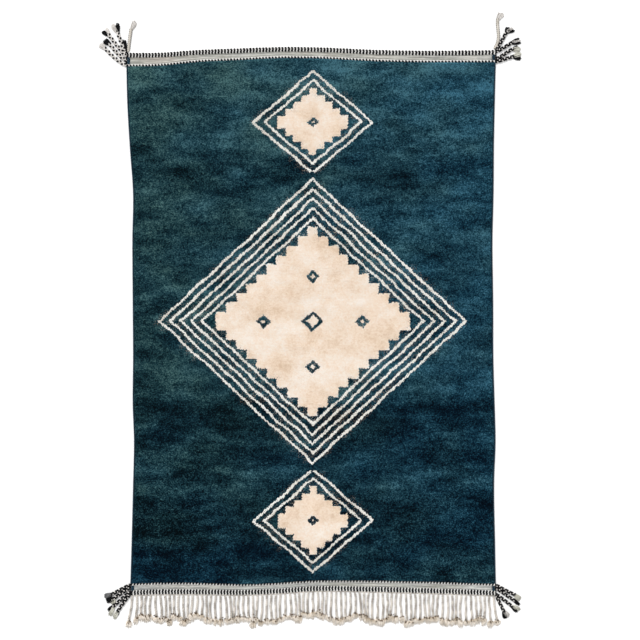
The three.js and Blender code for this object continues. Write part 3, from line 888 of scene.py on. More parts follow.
@dataclass(frozen=True)
class Finishes:
    """Every material of the rug, made once."""

    teal: bpy.types.Material
    cream: bpy.types.Material
    ground: bpy.types.Material
    kilim: bpy.types.Material
    selvedge: bpy.types.Material
    fringe: bpy.types.Material
    yarn: dict[Yarn, bpy.types.Material]

    @classmethod
    def make(cls) -> "Finishes":
        """Makes them all."""
        yarn = {
            Yarn.DARK: SpunYarn("black_twining_yarn", (6, 7, 8), (24, 25, 27)).material(),
            Yarn.LIGHT: SpunYarn("white_twining_yarn", (214, 213, 209), (248, 247, 244)).material(),
            Yarn.GREY: SpunYarn("grey_braid_yarn", (70, 72, 74), (150, 150, 150)).material(),
            Yarn.CREAM: SpunYarn("cream_braid_yarn", (184, 182, 168), (230, 229, 218)).material(),
            Yarn.SOFT: SpunYarn("white_braid_yarn", (192, 187, 182), (236, 232, 228)).material(),
            Yarn.CORD: SpunYarn("pale_cord_yarn", (172, 165, 155), (220, 214, 204)).material(),
        }
        return cls(
            teal=DyedWool().material(),
            cream=CreamWool().material(),
            ground=GroundCloth().material(),
            kilim=KilimWeave().material(),
            selvedge=SpunYarn("navy_overcast_yarn", (12, 27, 38), (46, 72, 88)).material(),
            fringe=FringeWool().material(),
            yarn=yarn,
        )


@dataclass(frozen=True)
class Lozenge:
    """One lozenge of the design: a solid cream heart inside nested cream lines."""

    x: float
    y: float
    half_width: float
    half_length: float
    lines: int
    first_gap: float = 27.0
    line_width: float = 13.0
    pitch: float = 39.0
    step: float = 0.0

    @property
    def heart(self) -> float:
        """Distance from the middle to the heart's straight edge."""
        return self.half_width * self.half_length / math.hypot(self.half_width, self.half_length)

    def from_middle(self, x: Array, y: Array) -> Array:
        """Distance square to the lozenge's edges, counted from its middle."""
        across = np.abs(x - self.x) / self.half_width
        along = np.abs(y - self.y) / self.half_length
        return (across + along) * self.heart

    def reach(self) -> float:
        """Distance from the middle to the edge of the outermost line."""
        return self.heart + self.first_gap + (self.lines - 1) * self.pitch + self.line_width

    def cream(self, x: Array, y: Array) -> Array:
        """True where the knots are cream: in the heart, whose edge climbs in steps, and in each line round it."""
        out = self.from_middle(x, y)
        climbed = self.from_middle(x, self.y + (np.floor(np.abs(y - self.y) / self.step) + 0.5) * self.step)
        past = out - self.heart - self.first_gap
        inside = (past > 0) & (past < (self.lines - 1) * self.pitch + self.line_width)
        return (climbed < self.heart) | (inside & (past % self.pitch < self.line_width))


@dataclass(frozen=True)
class LozengeDesign:
    """A generic traditional design: a tall chain of nested lozenges on the plain dyed ground."""

    chain: tuple[Lozenge, ...] = (
        Lozenge(0, 0, 560, 520, 5, step=52),
        Lozenge(0, 1092, 215, 185, 2, step=37),
        Lozenge(0, -1092, 215, 185, 2, step=37),
    )
    eyes: tuple[Lozenge, ...] = (
        Lozenge(0, 0, 62, 56, 0),
        Lozenge(0, 250, 40, 36, 0),
        Lozenge(0, -250, 40, 36, 0),
        Lozenge(270, 0, 40, 36, 0),
        Lozenge(-270, 0, 40, 36, 0),
        Lozenge(0, 1092, 34, 30, 0),
        Lozenge(0, -1092, 34, 30, 0),
    )
    eye_rim: float = 17.0

    def beside_hearts(self, x: Array, y: Array) -> Array:
        """True outside every heart, where the cream knots belong to a line."""
        outside = np.ones(np.shape(x), bool)
        for lozenge in self.chain:
            outside &= lozenge.from_middle(x, y) > lozenge.heart + lozenge.first_gap / 3
        return outside

    def cream(self, x: Array, y: Array) -> Array:
        """True where the knots are cream.

        The outlines waver by some millimetres, and where two lozenges meet the first one of the chain wins.

        Args:
            x: places across.
            y: places along.

        Returns:
            One truth value for each place.
        """
        waver_x = 9 * (soft_field(x, y, 70, 55, 3) - 0.5) + 5 * (soft_field(x, y, 17, 17, 4) - 0.5)
        waver_y = 11 * (soft_field(x, y, 80, 60, 5) - 0.5) + 5 * (soft_field(x, y, 17, 17, 6) - 0.5)
        x, y = x + waver_x, y + waver_y
        drawn = np.zeros(np.shape(x), bool)
        settled = np.zeros(np.shape(x), bool)
        for lozenge in self.chain:
            here = (lozenge.from_middle(x, y) < lozenge.reach() + lozenge.first_gap) & ~settled
            drawn |= here & lozenge.cream(x, y)
            settled |= here
        for eye in self.eyes:
            out = eye.from_middle(x, y)
            drawn &= ~(out < eye.heart)
            drawn |= out < eye.heart - self.eye_rim
        return drawn


@dataclass(frozen=True)
class PileField:
    """The knotted pile: a woven ground sheet, and a tuft of cut yarn for each group of knots on it.

    The tufts' feet are triangles that tile the plan, pointing up and down the rug in turn.
    """

    foot_side: float = 9.05
    foot_overlap: float = 1.12
    foot_depth: float = 2.7
    tuft_length: float = 3.1
    nap_lean: float = 2.4
    stray_lean: float = 1.0
    side_margin: float = 1.6
    end_margin: float = 2.6
    search_half: tuple[float, float] = (1030.0, 1480.0)
    foot_shift: tuple[float, float] = (1.2, 1.3)
    ground_depth: float = 2.9
    ground_cell: float = 34.0
    under_inset: float = 4.0
    seed: int = 11

    def ground_shares(self, size: float) -> Array:
        """Grid shares from 0 to 1: four close together at each rim, and the rest even."""
        rim = np.array([0.0, 2.0, 6.0, 14.0]) / size
        even = np.linspace(0, 1, int(round(size / self.ground_cell)) + 1)[1:-1]
        return np.concatenate([rim, even, 1 - rim[::-1]])

    def ground(self, finishes: Finishes, design: LozengeDesign) -> bpy.types.Object:
        """The ground sheet: the pile's surface lowered a little, closed by a flat underside.

        Args:
            finishes: the materials.
            design: where the knots are cream.

        Returns:
            The sheet.
        """
        u, v = np.meshgrid(*(self.ground_shares(size) for size in PILE_SIZE))
        x, y = PLAN.place(u, v)
        z = PLAN.surface(x, y) - self.ground_depth
        rows, columns = u.shape
        inset = [part + (0.5 - part) * 2 * self.under_inset / size for part, size in zip((u, v), PILE_SIZE)]
        under_x, under_y = PLAN.place(*inset)
        top = points_at(x, y, z).reshape(-1, 3)
        bottom = points_at(under_x, under_y, 0).reshape(-1, 3)
        index = np.arange(rows * columns).reshape(rows, columns)
        quads = np.stack([index[:-1, :-1], index[:-1, 1:], index[1:, 1:], index[1:, :-1]], axis=-1).reshape(-1, 4)
        rim = np.concatenate([index[0, :-1], index[:-1, -1], index[-1, :0:-1], index[:0:-1, 0]])
        after = np.roll(rim, -1)
        under = rows * columns
        walls = np.stack([rim, rim + under, after + under, after], axis=-1)
        skin = Skin()
        cream = design.cream(top[:, 0], top[:, 1]).astype(float)
        skin.add(
            np.concatenate([top, bottom]),
            [quads, quads[:, ::-1] + under, walls],
            cream=np.concatenate([cream, cream * 0]),
            # A knot shade below the tufts' mean, so the ground between the tufts is painted a little darker as
            # their shade
            shade=0.3,
        )
        return skin.placed("pile_ground", finishes.ground, "pile_teal", "pile_field", mapped=True)

    def knots(self) -> tuple[Array, Array, Array]:
        """The middles of the tufts' feet, and the way that each foot points.

        Returns:
            X, Y and the sign of the foot's point, for every tuft inside the pile's outline.
        """
        row_height = self.foot_side * math.sqrt(3) / 2
        half_width, half_length = self.search_half
        rows = np.arange(-half_length, half_length, row_height)
        places = np.arange(-half_width, half_width, self.foot_side / 2)
        j, i = np.meshgrid(np.arange(len(rows)), np.arange(len(places)), indexing="ij")
        sign = np.where((i + j) % 2, -1.0, 1.0)
        x = places[i]
        y = rows[j] - sign * row_height / 6
        across, along = PLAN.inside(x, y)
        keep = (across > self.side_margin) & (along > self.end_margin)
        return x[keep], y[keep], sign[keep]

    def tufts(self) -> tuple[Array, Array, Array]:
        """Every tuft's four corners.

        A foot's corner lies on the lowered surface, at 120 degrees from the next. The tip stands a tuft's length
        out from the middle, square to the surface, and leans with the nap: a smooth field of slopes.

        Returns:
            The corners of each tuft, its middle in plan, and its shade from 0 to 1.
        """
        random = np.random.default_rng(self.seed)
        x, y, sign = self.knots()
        count = len(x)
        radius = self.foot_side / math.sqrt(3) * self.foot_overlap * random.uniform(0.9, 1.12, count)
        turn = np.pi / 2 * sign + random.normal(0, 0.3, count)
        shift_x, shift_y = self.foot_shift
        x = x + random.uniform(-shift_x, shift_x, count)
        y = y + random.uniform(-shift_y, shift_y, count)
        angle = turn[:, None] + np.array([0, 2, 4]) * np.pi / 3
        foot_x = x[:, None] + radius[:, None] * np.cos(angle)
        foot_y = y[:, None] + radius[:, None] * np.sin(angle)
        foot_x = np.clip(foot_x, PLAN.left(foot_y) + 0.4, PLAN.right(foot_y) - 0.4)
        foot_y = np.clip(foot_y, PLAN.low(foot_x) + 0.3, PLAN.high(foot_x) - 0.3)
        foot_z = PLAN.surface(foot_x, foot_y) - self.foot_depth + random.uniform(-0.3, 0.3, (count, 3))
        level = PLAN.surface(x, y)
        slope_x = (PLAN.surface(x + 1, y) - PLAN.surface(x - 1, y)) / 2
        slope_y = (PLAN.surface(x, y + 1) - PLAN.surface(x, y - 1)) / 2
        out = points_at(-slope_x, -slope_y, 1)
        out /= np.linalg.norm(out, axis=-1, keepdims=True)
        length = self.tuft_length + random.normal(0, 0.4, count) + 0.9 * (soft_field(x, y, 45, 22, 8) - 0.5)
        nap_x = self.nap_lean * (soft_field(x, y, 60, 30, 21) - 0.5)
        nap_y = self.nap_lean * (soft_field(x, y, 75, 26, 22) - 0.5) - 0.5
        lean_x = nap_x + random.normal(0, self.stray_lean, count)
        lean_y = nap_y + random.normal(0, self.stray_lean, count)
        tip = points_at(x, y, level - self.foot_depth) + out * length[:, None]
        tip[:, 0] = np.clip(tip[:, 0] + lean_x, PLAN.left(tip[:, 1]) + 0.2, PLAN.right(tip[:, 1]) - 0.2)
        tip[:, 1] = np.clip(tip[:, 1] + lean_y, PLAN.low(tip[:, 0]) - 1, PLAN.high(tip[:, 0]) + 1)
        feet = points_at(foot_x, foot_y, foot_z)
        shade = 0.6 * random.uniform(0, 1, count) + 0.4 * soft_field(x, y, 14, 9, 30)
        return np.concatenate([feet, tip[:, None, :]], axis=1), np.stack([x, y], axis=-1), shade

    def build(self, finishes: Finishes, design: LozengeDesign) -> list[bpy.types.Object]:
        """Builds and dresses the ground and the tufts, by yarn and in strips down the rug.

        Args:
            finishes: the materials.
            design: where the knots are cream.

        Returns:
            The ground sheet, then the strips of tufts.
        """
        made = [self.ground(finishes, design)]
        corners, middle, shade = self.tufts()
        cream = design.cream(middle[:, 0], middle[:, 1])
        pale = design.beside_hearts(middle[:, 0], middle[:, 1]).astype(float)
        strips = (
            ("pile_teal", ~cream, finishes.teal, (-1100.0, -345.0, 345.0, 1100.0)),
            ("pile_cream", cream, finishes.cream, (-1100.0, 0.0, 1100.0)),
        )
        for name, yarn, finish, cuts in strips:
            for number, (low, high) in enumerate(zip(cuts[:-1], cuts[1:]), start=1):
                chosen = yarn & (middle[:, 0] >= low) & (middle[:, 0] < high)
                values = {"shade": shade[chosen], "pale": pale[chosen]}
                made.append(self.strip(f"{name}_{number}", corners[chosen], values, finish, name))
        return made

    def strip(self, name: str, corners: Array, values: dict[str, Array], finish: bpy.types.Material, slot: str):
        """One strip of tufts of one yarn, each tuft a small closed pyramid on its triangular foot."""
        pyramid = np.array([[0, 2, 1], [0, 1, 3], [1, 2, 3], [2, 0, 3]])
        faces = (pyramid[None] + (np.arange(len(corners)) * 4)[:, None, None]).reshape(-1, 3)
        skin = Skin()
        skin.add(corners, [faces], **{label: np.repeat(value, 4) for label, value in values.items()})
        return skin.placed(name, finish, slot, "pile_field", mapped=True)


@dataclass(frozen=True)
class KilimBand:
    """The flat-woven band of one heading: weft picks that pass over and under the warps."""

    end: End
    across: int = 16
    columns: int = 330
    picks: int = 7
    level: float = 3.0
    rib_height: float = 1.0
    warp_wave: float = 0.35
    warp_pair: float = 13.0

    def build(self, finishes: Finishes) -> bpy.types.Object:
        """Builds and dresses the band.

        Its height is a level cloth plus a rounded rib for each weft pick, crossed by a shallow wave for each
        pair of warps that steps by half a wave from pick to pick.

        Args:
            finishes: the materials.

        Returns:
            The band.
        """
        heading = HEADINGS[self.end]
        low, high = heading.left + END_WRAP_WIDTH + GAP, heading.right - END_WRAP_WIDTH - GAP
        t, s = np.meshgrid(np.linspace(0, 1, self.across), np.linspace(0, 1, self.columns))
        x = low + (high - low) * s
        inner = heading.kilim_inner(x) - self.end.value * GAP / 2
        outer = heading.kilim_outer(x) + self.end.value * GAP / 2
        y = inner + (outer - inner) * t
        rib = np.abs(np.sin(np.pi * self.picks * t))
        step = np.pi * np.floor(self.picks * t)
        warps = self.warp_wave * np.sin(2 * np.pi * x / self.warp_pair + step)
        z = self.level + self.rib_height * rib + warps * rib + 0.5 * (soft_field(x, y, 60, 40, 12) - 0.5)
        top = points_at(x, y, z)
        foot = points_at(x[:, [0, -1]], y[:, [0, -1]], 0)
        rings = np.concatenate([top, foot[:, 1:], foot[:, :1]], axis=1)[None]
        points, faces = loft(rings)
        skin = Skin()
        skin.add(points, faces, across=np.concatenate([t, t[:, -1:], t[:, :1]], axis=1).ravel())
        return skin.placed(f"kilim_band_{self.end.word}", finishes.kilim, "kilim_wool", f"kilim_{self.end.word}")


@dataclass(frozen=True)
class StitchForm:
    """How the stitches of one yarn stand in a twined row.

    The share of the pitch that they stand at, how far they stand inwards and upwards, and half their length,
    width and height.
    """

    at: float
    inwards: float
    height: float
    half: Triple


OUTER_STITCH = {
    Yarn.DARK: StitchForm(0.28, 0.0, 5.0, (6.4, 6.0, 3.7)),
    Yarn.LIGHT: StitchForm(0.80, 0.0, 4.4, (4.8, 3.1, 3.3)),
}
INNER_STITCH = {
    Yarn.DARK: StitchForm(0.2, 0.6, 4.2, (5.6, 4.8, 3.8)),
    Yarn.LIGHT: StitchForm(0.7, 1.4, 5.8, (7.8, 3.5, 4.4)),
}


@dataclass(frozen=True)
class TwinedRows:
    """The twined rows of one heading: three rows of slanted stitches outside the kilim and one inside it."""

    end: End
    rows: tuple[float, ...] = (6.6, 14.2, 21.8)
    outer_slant: float = 28.0
    inner_slant: float = 24.0

    def place(self, share: Array) -> Array:
        """X at each share of the way across, where the stitches grow a little wider towards the right."""
        heading = HEADINGS[self.end]
        return heading.left + (heading.right - heading.left) * (share - self.end.widening * share * (1 - share))

    def base(self, inner: float, outer: float, height: float, past_kilim: bool) -> Skin:
        """A flat strip under the stitches.

        Args:
            inner: distance of one edge inside the heading's outer edge.
            outer: distance of the other.
            height: how high it stands.
            past_kilim: whether the kilim's width is added to both distances.

        Returns:
            The strip.
        """
        heading = HEADINGS[self.end]
        x = heading.along()
        kilim = heading.kilim_width(x) * past_kilim
        near = heading.inwards(x, inner + kilim)
        far = heading.inwards(x, outer + kilim)
        profile = ((0, 0), (0, 0.7), (0.25, 1), (0.75, 1), (1, 0.7), (1, 0))
        rings = np.stack([points_at(x, near + (far - near) * t, z * height) for t, z in profile], 1)
        skin = Skin()
        skin.add(*loft(rings[None]))
        return skin

    def stitches(self, yarn: Yarn, seed: int) -> tuple[Array, Array, Array]:
        """The stitches of one yarn in the three outer rows.

        Args:
            yarn: the dark stitches stand in the first half of each pitch and the light ones in the second.
            seed: the random seed.

        Returns:
            Their centres, half sizes and headings.
        """
        heading = HEADINGS[self.end]
        random = np.random.default_rng(seed)
        bars = self.end.bars
        column_at, row = np.meshgrid(np.arange(bars), np.arange(len(self.rows)))
        column_at, row = column_at.ravel(), row.ravel()
        way = np.where(row % 2, -1.0, 1.0) * self.end.value
        form = OUTER_STITCH[yarn]
        x = self.place((column_at + form.at) / bars) + random.normal(0, 0.4, len(row)) + 0.9 * way
        y = heading.inwards(x, np.asarray(self.rows)[row]) + random.normal(0, 0.3, len(row))
        z = form.height + random.normal(0, 0.15, len(row))
        tilt = np.arctan((heading.outer(x + 5) - heading.outer(x - 5)) / 10)
        angle = np.radians(90 - self.outer_slant * way) + tilt + random.normal(0, 0.06, len(row))
        return points_at(x, y, z), np.array(form.half) * random.normal(1, 0.05, (len(row), 1)), angle

    def inner_stitches(self, yarn: Yarn, seed: int) -> tuple[Array, Array, Array]:
        """The long slanted stitches of one yarn in the inner row."""
        heading = HEADINGS[self.end]
        random = np.random.default_rng(seed)
        i = np.arange(self.end.bars)
        form = INNER_STITCH[yarn]
        x = self.place((i + form.at) / self.end.bars) + random.normal(0, 0.4, len(i))
        distance = OUTER_TWINE_WIDTH + heading.kilim_width(x) + INNER_TWINE_WIDTH / 2
        y = heading.inwards(x, distance + form.inwards) + random.normal(0, 0.3, len(i))
        angle = np.radians(90 + self.inner_slant * -self.end.value) + random.normal(0, 0.07, len(i))
        return points_at(x, y, form.height), np.array(form.half) * random.normal(1, 0.05, (len(i), 1)), angle

    def edge_cord(self) -> tuple[Array, list[Array]]:
        """The plain light cord along the outer edge: an oval tube whose thickness swells with each stitch."""
        heading = HEADINGS[self.end]
        x = np.linspace(heading.left + 1, heading.right - 1, 336)
        path = points_at(x, heading.inwards(x, 2.6), 3.2)[None]
        swell = 1 + 0.12 * np.sin(2 * np.pi * np.arange(len(x)) / 3)
        return loft(tubes(path, 4.6 * swell, 5.0 * swell, 5))

    def build(self, finishes: Finishes) -> list[bpy.types.Object]:
        """Builds and dresses both twined bands of this end.

        Args:
            finishes: the materials.

        Returns:
            The dark and the light stitches of the outer and of the inner band.
        """
        word, made = self.end.word, []
        seed = 40 if self.end is End.TOP else 50
        outer_light = self.base(0.4, OUTER_TWINE_WIDTH - GAP / 2, 4.0, past_kilim=False)
        outer_light.add(*self.edge_cord())
        outer_light.add(*beads(*self.stitches(Yarn.LIGHT, seed)))
        outer_dark = Skin()
        outer_dark.add(*beads(*self.stitches(Yarn.DARK, seed + 1)))
        first = OUTER_TWINE_WIDTH + GAP / 2
        inner_dark = self.base(first + 5.2, first + INNER_TWINE_WIDTH - GAP, 3.4, past_kilim=True)
        inner_dark.add(*beads(*self.inner_stitches(Yarn.DARK, seed + 2)))
        inner_light = self.base(first, first + 5.0, 3.4, past_kilim=True)
        inner_light.add(*beads(*self.inner_stitches(Yarn.LIGHT, seed + 3)))
        for band, yarn, skin in (
            ("outer", Yarn.LIGHT, outer_light),
            ("outer", Yarn.DARK, outer_dark),
            ("inner", Yarn.DARK, inner_dark),
            ("inner", Yarn.LIGHT, inner_light),
        ):
            name, node = f"twining_{band}_{yarn.value}_{word}", f"twine_{band}_{word}"
            slot = "twine_dark" if yarn is Yarn.DARK else "twine_light"
            made.append(skin.placed(name, finishes.yarn[yarn], slot, node))
        return made


@dataclass(frozen=True)
class Selvedge:
    """The overcast cord down one side: an oval cord with a ridge for each turn of its yarn."""

    side: Side
    width: float = 8.4
    height: float = 9.8
    wrap: float = 9.0
    ridge: float = 0.08
    steps: int = 960
    around: int = 6

    def build(self, finishes: Finishes) -> bpy.types.Object:
        """Builds and dresses the cord.

        Its radius is a share larger on a ridge, and the ridges wind round it once for each wrap.

        Args:
            finishes: the materials.

        Returns:
            The cord.
        """
        corner = float(side_x(self.side, -1440.0))
        y = np.linspace(float(PLAN.low(corner)), float(PLAN.high(corner)), self.steps)
        x = side_x(self.side, y) - self.side.value * (SELVEDGE_WIDTH / 2 + GAP / 2)
        path = points_at(x, y, self.height / 2)[None]
        rings = tubes(path, self.width, self.height, self.around)
        angle = np.linspace(0, 2 * np.pi, self.around, endpoint=False)
        ridge = 1 + self.ridge * np.cos(2 * np.pi * y[:, None] / self.wrap + angle[None])
        rings = path[:, :, None, :] + (rings - path[:, :, None, :]) * ridge[None, :, :, None]
        rings[..., 2] = np.maximum(rings[..., 2], 0)
        skin = Skin()
        skin.add(*loft(rings))
        word = self.side.word
        return skin.placed(f"overcast_{word}", finishes.selvedge, "selvedge_yarn", f"selvedge_{word}")


@dataclass(frozen=True)
class EndWrap:
    """The dark yarn wound over one end of a kilim band."""

    end: End
    side: Side
    turn_pitch: float = 5.2
    half_height: float = 4.2

    def build(self, finishes: Finishes) -> bpy.types.Object:
        """Builds and dresses the turns, one egg-shaped stitch across the band's end for each.

        Args:
            finishes: the materials.

        Returns:
            The wrapping.
        """
        heading = HEADINGS[self.end]
        middle = heading.edge(self.side) - self.side.value * END_WRAP_WIDTH / 2
        low, high = sorted((float(heading.kilim_inner(middle)), float(heading.kilim_outer(middle))))
        count = max(3, round((high - low) / self.turn_pitch))
        y = low + (np.arange(count) + 0.5) * (high - low) / count
        centre = points_at(middle, y, self.half_height)
        half = np.tile([END_WRAP_WIDTH / 2, 0.62 * (high - low) / count, self.half_height], (count, 1))
        askew = 0.10 * np.sin(np.arange(count) * 2.1)
        skin = Skin()
        skin.add(*beads(centre, half, askew, around=8, rings=5))
        corner = f"{self.end.word}_{self.side.word}"
        return skin.placed(f"end_wrapping_{corner}", finishes.selvedge, "selvedge_yarn", f"end_wrap_{corner}")


@dataclass(frozen=True)
class Lock:
    """How the loose locks of a tuft are drawn: each a thin tapered strand of fibres."""

    thickness: float = 4.6
    taper: float = 0.45
    steps: int = 4
    around: int = 3

    def fan(self, root: Array, tip: Array, sag: Array, seed: int) -> Array:
        """Paths of locks from their roots to their tips, each bowed a little sideways.

        Args:
            root: XYZ of each lock's start.
            tip: XYZ of its end.
            sag: how far its middle lies to the side.
            seed: the random seed.

        Returns:
            Rings of each lock.
        """
        random = np.random.default_rng(seed)
        t = np.linspace(0, 1, self.steps)[None, :, None]
        run = tip - root
        across = points_at(-run[:, 1], run[:, 0], 0)
        across /= np.maximum(np.linalg.norm(across, axis=-1, keepdims=True), 1e-6)
        bow = np.sin(np.pi * t) * (sag[:, None, None] * across[:, None, :])
        path = root[:, None, :] + run[:, None, :] * t + bow
        taper = 1 - self.taper * t[..., 0] ** 2
        width = self.thickness * taper * random.uniform(0.8, 1.25, (len(root), 1))
        return tubes(path, width, 0.75 * width, self.around, random.uniform(0, 2, (len(root), 1)))


@dataclass(frozen=True)
class WarpFringe:
    """The knotted fringe: two-ply warp cords, each with an overhand knot and a fluffed end."""

    reach: float = 2.7
    ply: float = 8.0
    twist: float = 24.0
    rings: int = 40
    ply_level: float = 1.2
    ply_rise: float = 1.15
    strip_width: float = 5.0
    tuft_drop: float = 40.0
    tuft_length: float = 36.0
    tuft_root_reach: float = 8.6
    tuft_tip_reach: float = 17.0
    tuft_sideways: float = 4.5
    locks: int = 22
    # Dark-brown specks round each knot: painted shadows of the knot
    flecks: int = 6

    def lays(self) -> dict[str, Array]:
        """How each strand lies: its root, its sideways lean and bow, and where its knot is."""
        heading = HEADINGS[End.BOTTOM]
        i = np.arange(STRANDS)
        root = heading.left + 8 + (heading.right - heading.left - 16) * i / (STRANDS - 1)
        outwards = 12 * np.exp((i - STRANDS + 1) / 1.2) - 16 * np.exp(-i / 1.2)
        lean = outwards + 5 * np.sin(i * 1.31) + 4 * np.sin(i * 0.47 - 2) + 3 * (scatter(i, 1) - 0.5)
        bow = 4 * np.sin(i * 0.93 + 1.2) + 3 * (scatter(i, 2) - 0.5)
        drop = column(FRINGE_DROPS, 1)(root) + 21 * (scatter(i, 3) - 0.5)
        knot_at = drop - self.tuft_drop - self.strip_width / 2
        top = heading.outer(root) - self.strip_width / 2
        return {"root": root, "lean": lean, "bow": bow, "knot_at": knot_at, "top": top}

    def line(self, down: Array) -> Array:
        """Points on the strands' middle lines.

        Args:
            down: distances down each strand, an array of strands and points.

        Returns:
            X and Y: the root, moved by the lean in step with the run to the knot, by half a wave of bow, and by
            a small wriggle that fades out at both ends of the cord.
        """
        lay = self.lays()
        i = np.arange(STRANDS)[:, None]
        share = np.minimum(down / lay["knot_at"][:, None], 1)
        bow = np.sin(np.pi * share)
        wriggle = np.sin(down / (11 + 9 * scatter(i, 11)) + 9 * scatter(i, 12)) * (0.4 + 1.8 * scatter(i, 13))
        x = lay["root"][:, None] + lay["lean"][:, None] * share + (lay["bow"][:, None] + wriggle) * bow
        return np.stack([x, lay["top"][:, None] - down], -1)

    def cords(self, skin: Skin) -> None:
        """Adds the plies: two round yarns wound round each strand's middle line."""
        lay = self.lays()
        i = np.arange(STRANDS)[:, None]
        share = np.linspace(0, 1, self.rings)[None]
        down = share * lay["knot_at"][:, None]
        flat = self.line(down)
        twist = self.twist * (0.85 + 0.4 * scatter(i, 14))
        turn = 2 * np.pi * down / twist + 6 * scatter(i, 5)
        reach = self.reach * np.clip(0.55 + down / 30, 0, 1)
        for phase in (0.0, np.pi):
            x = flat[..., 0] + reach * np.cos(turn + phase)
            z = self.ply / 2 + self.ply_level + self.ply_rise * np.sin(turn + phase)
            path = points_at(x, flat[..., 1], z)
            thick = self.ply * (1 + 0.12 * np.sin(down / 9 + phase + 5 * scatter(i, 15)))
            rings = tubes(path, thick, 0.92 * thick, 5)
            value = np.repeat(0.44 * np.broadcast_to(share, down.shape).ravel(), 5)
            skin.add(*loft(rings), down=value)

    def knots(self, skin: Skin) -> None:
        """Adds the knots: a slanted turn of cord over a smaller one."""
        lay = self.lays()
        i = np.arange(STRANDS)
        middle = self.line(lay["knot_at"][:, None])[:, 0]
        centre = points_at(middle[:, 0], middle[:, 1], 5.8)
        slant = 0.5 * (scatter(i, 7) - 0.5)
        half = np.tile([7.4, 4.4, 5.2], (STRANDS, 1)) * (0.9 + 0.2 * scatter(i, 8)[:, None])
        skin.add(*beads(centre, half, slant + 0.35, around=7, rings=4), down=0.445)
        skin.add(*beads(centre - [0, 4.6, 1.2], 0.86 * half, slant - 0.45, around=7, rings=4), down=0.46)

    def tufts(self, skin: Skin) -> None:
        """Adds the fluffed ends: locks that fan out below each knot, and small dark-brown specks round the knot
        that paint its shadow.
        """
        lay = self.lays()
        random = np.random.default_rng(70)
        shape = (STRANDS, self.locks)
        knot = self.line(lay["knot_at"][:, None])[:, 0]
        spread = np.linspace(-1, 1, self.locks)[None] + random.normal(0, 0.10, shape)
        layer = np.tile(np.arange(self.locks) % 4, (STRANDS, 1))
        lift = 1.5 * (np.arange(STRANDS)[:, None] % 2)
        side = random.normal(0, self.tuft_sideways, (STRANDS, 1))
        length = self.tuft_length * (1 - 0.26 * spread**2) * random.uniform(0.76, 1.16, shape)
        length = length * random.uniform(0.76, 1.22, (STRANDS, 1))
        start_x = knot[:, :1] + self.tuft_root_reach * spread
        start_y = knot[:, 1:] - 3 - 3 * spread**2 + random.uniform(-1.5, 1.5, shape)
        root = points_at(start_x, start_y, 3.0 + 1.2 * layer + lift)
        fanned = self.tuft_tip_reach * spread * random.uniform(0.7, 1.2, (STRANDS, 1))
        end_x = knot[:, :1] + fanned + side + random.normal(0, 2.2, shape)
        tip = points_at(end_x, start_y - length, 1.4 + 0.8 * layer + lift)
        sag = 3.4 * spread + random.normal(0, 1.6, shape)
        rings = Lock(4.8).fan(root.reshape(-1, 3), tip.reshape(-1, 3), sag.ravel(), 71)
        rings[..., 2] = np.maximum(rings[..., 2], 0.05)
        around, steps = rings.shape[2], rings.shape[1]
        down = np.repeat(np.tile(np.linspace(0.56, 1, steps), len(rings)), around)
        skin.add(*loft(rings), down=down)
        # Dark-brown specks round the knot, coloured by the 0.50 stop: painted shadows of the knot
        flecks = (STRANDS, self.flecks)
        x = knot[:, :1] + random.uniform(-12, 12, flecks)
        y = knot[:, 1:] - 4 + random.normal(0, 6, flecks)
        centre = points_at(x, y, 10.2 + lift + random.uniform(-0.5, 0.5, flecks)).reshape(-1, 3)
        half = np.array([4.6, 3.2, 2.4]) * random.uniform(0.25, 1.1, (len(centre), 1))
        skin.add(*beads(centre, half, random.uniform(-1.2, 1.2, len(centre)), around=5), down=0.5)

    def build(self, finishes: Finishes) -> list[bpy.types.Object]:
        """Builds and dresses the cords with their knots, and the tufts.

        Args:
            finishes: the materials.

        Returns:
            The two pieces.
        """
        heading = HEADINGS[End.BOTTOM]
        x = heading.along()
        profile = ((0.05, 0), (0.05, 3.4), (0.5, 4.4), (0.95, 3.0), (0.95, 0))
        strip = [points_at(x, heading.outer(x) - t * self.strip_width, z) for t, z in profile]
        cords = Skin()
        cords.add(*loft(np.stack(strip, 1)[None]), down=0.0)
        self.cords(cords)
        self.knots(cords)
        tufts = Skin()
        self.tufts(tufts)
        parts = (("fringe_cords", cords), ("fringe_tufts", tufts))
        return [skin.placed(name, finishes.fringe, "warp_cord", "fringe_bottom") for name, skin in parts]


LooseEnd = tuple[float, float, float, Yarn]


class CordForm(Enum):
    """The forms of the corner cords: thickness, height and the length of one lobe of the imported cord."""

    BRAID = (18.0, 10.0, 14.0)
    PLAIN = (15.0, 9.0, 24.0)
    LOCK = (16.0, 9.0, 20.0)

    @property
    def width(self) -> float:
        """The cord's width."""
        return self.value[0]

    @property
    def height(self) -> float:
        """The cord's height."""
        return self.value[1]

    @property
    def lobe(self) -> float:
        """The length of a lobe."""
        return self.value[2]


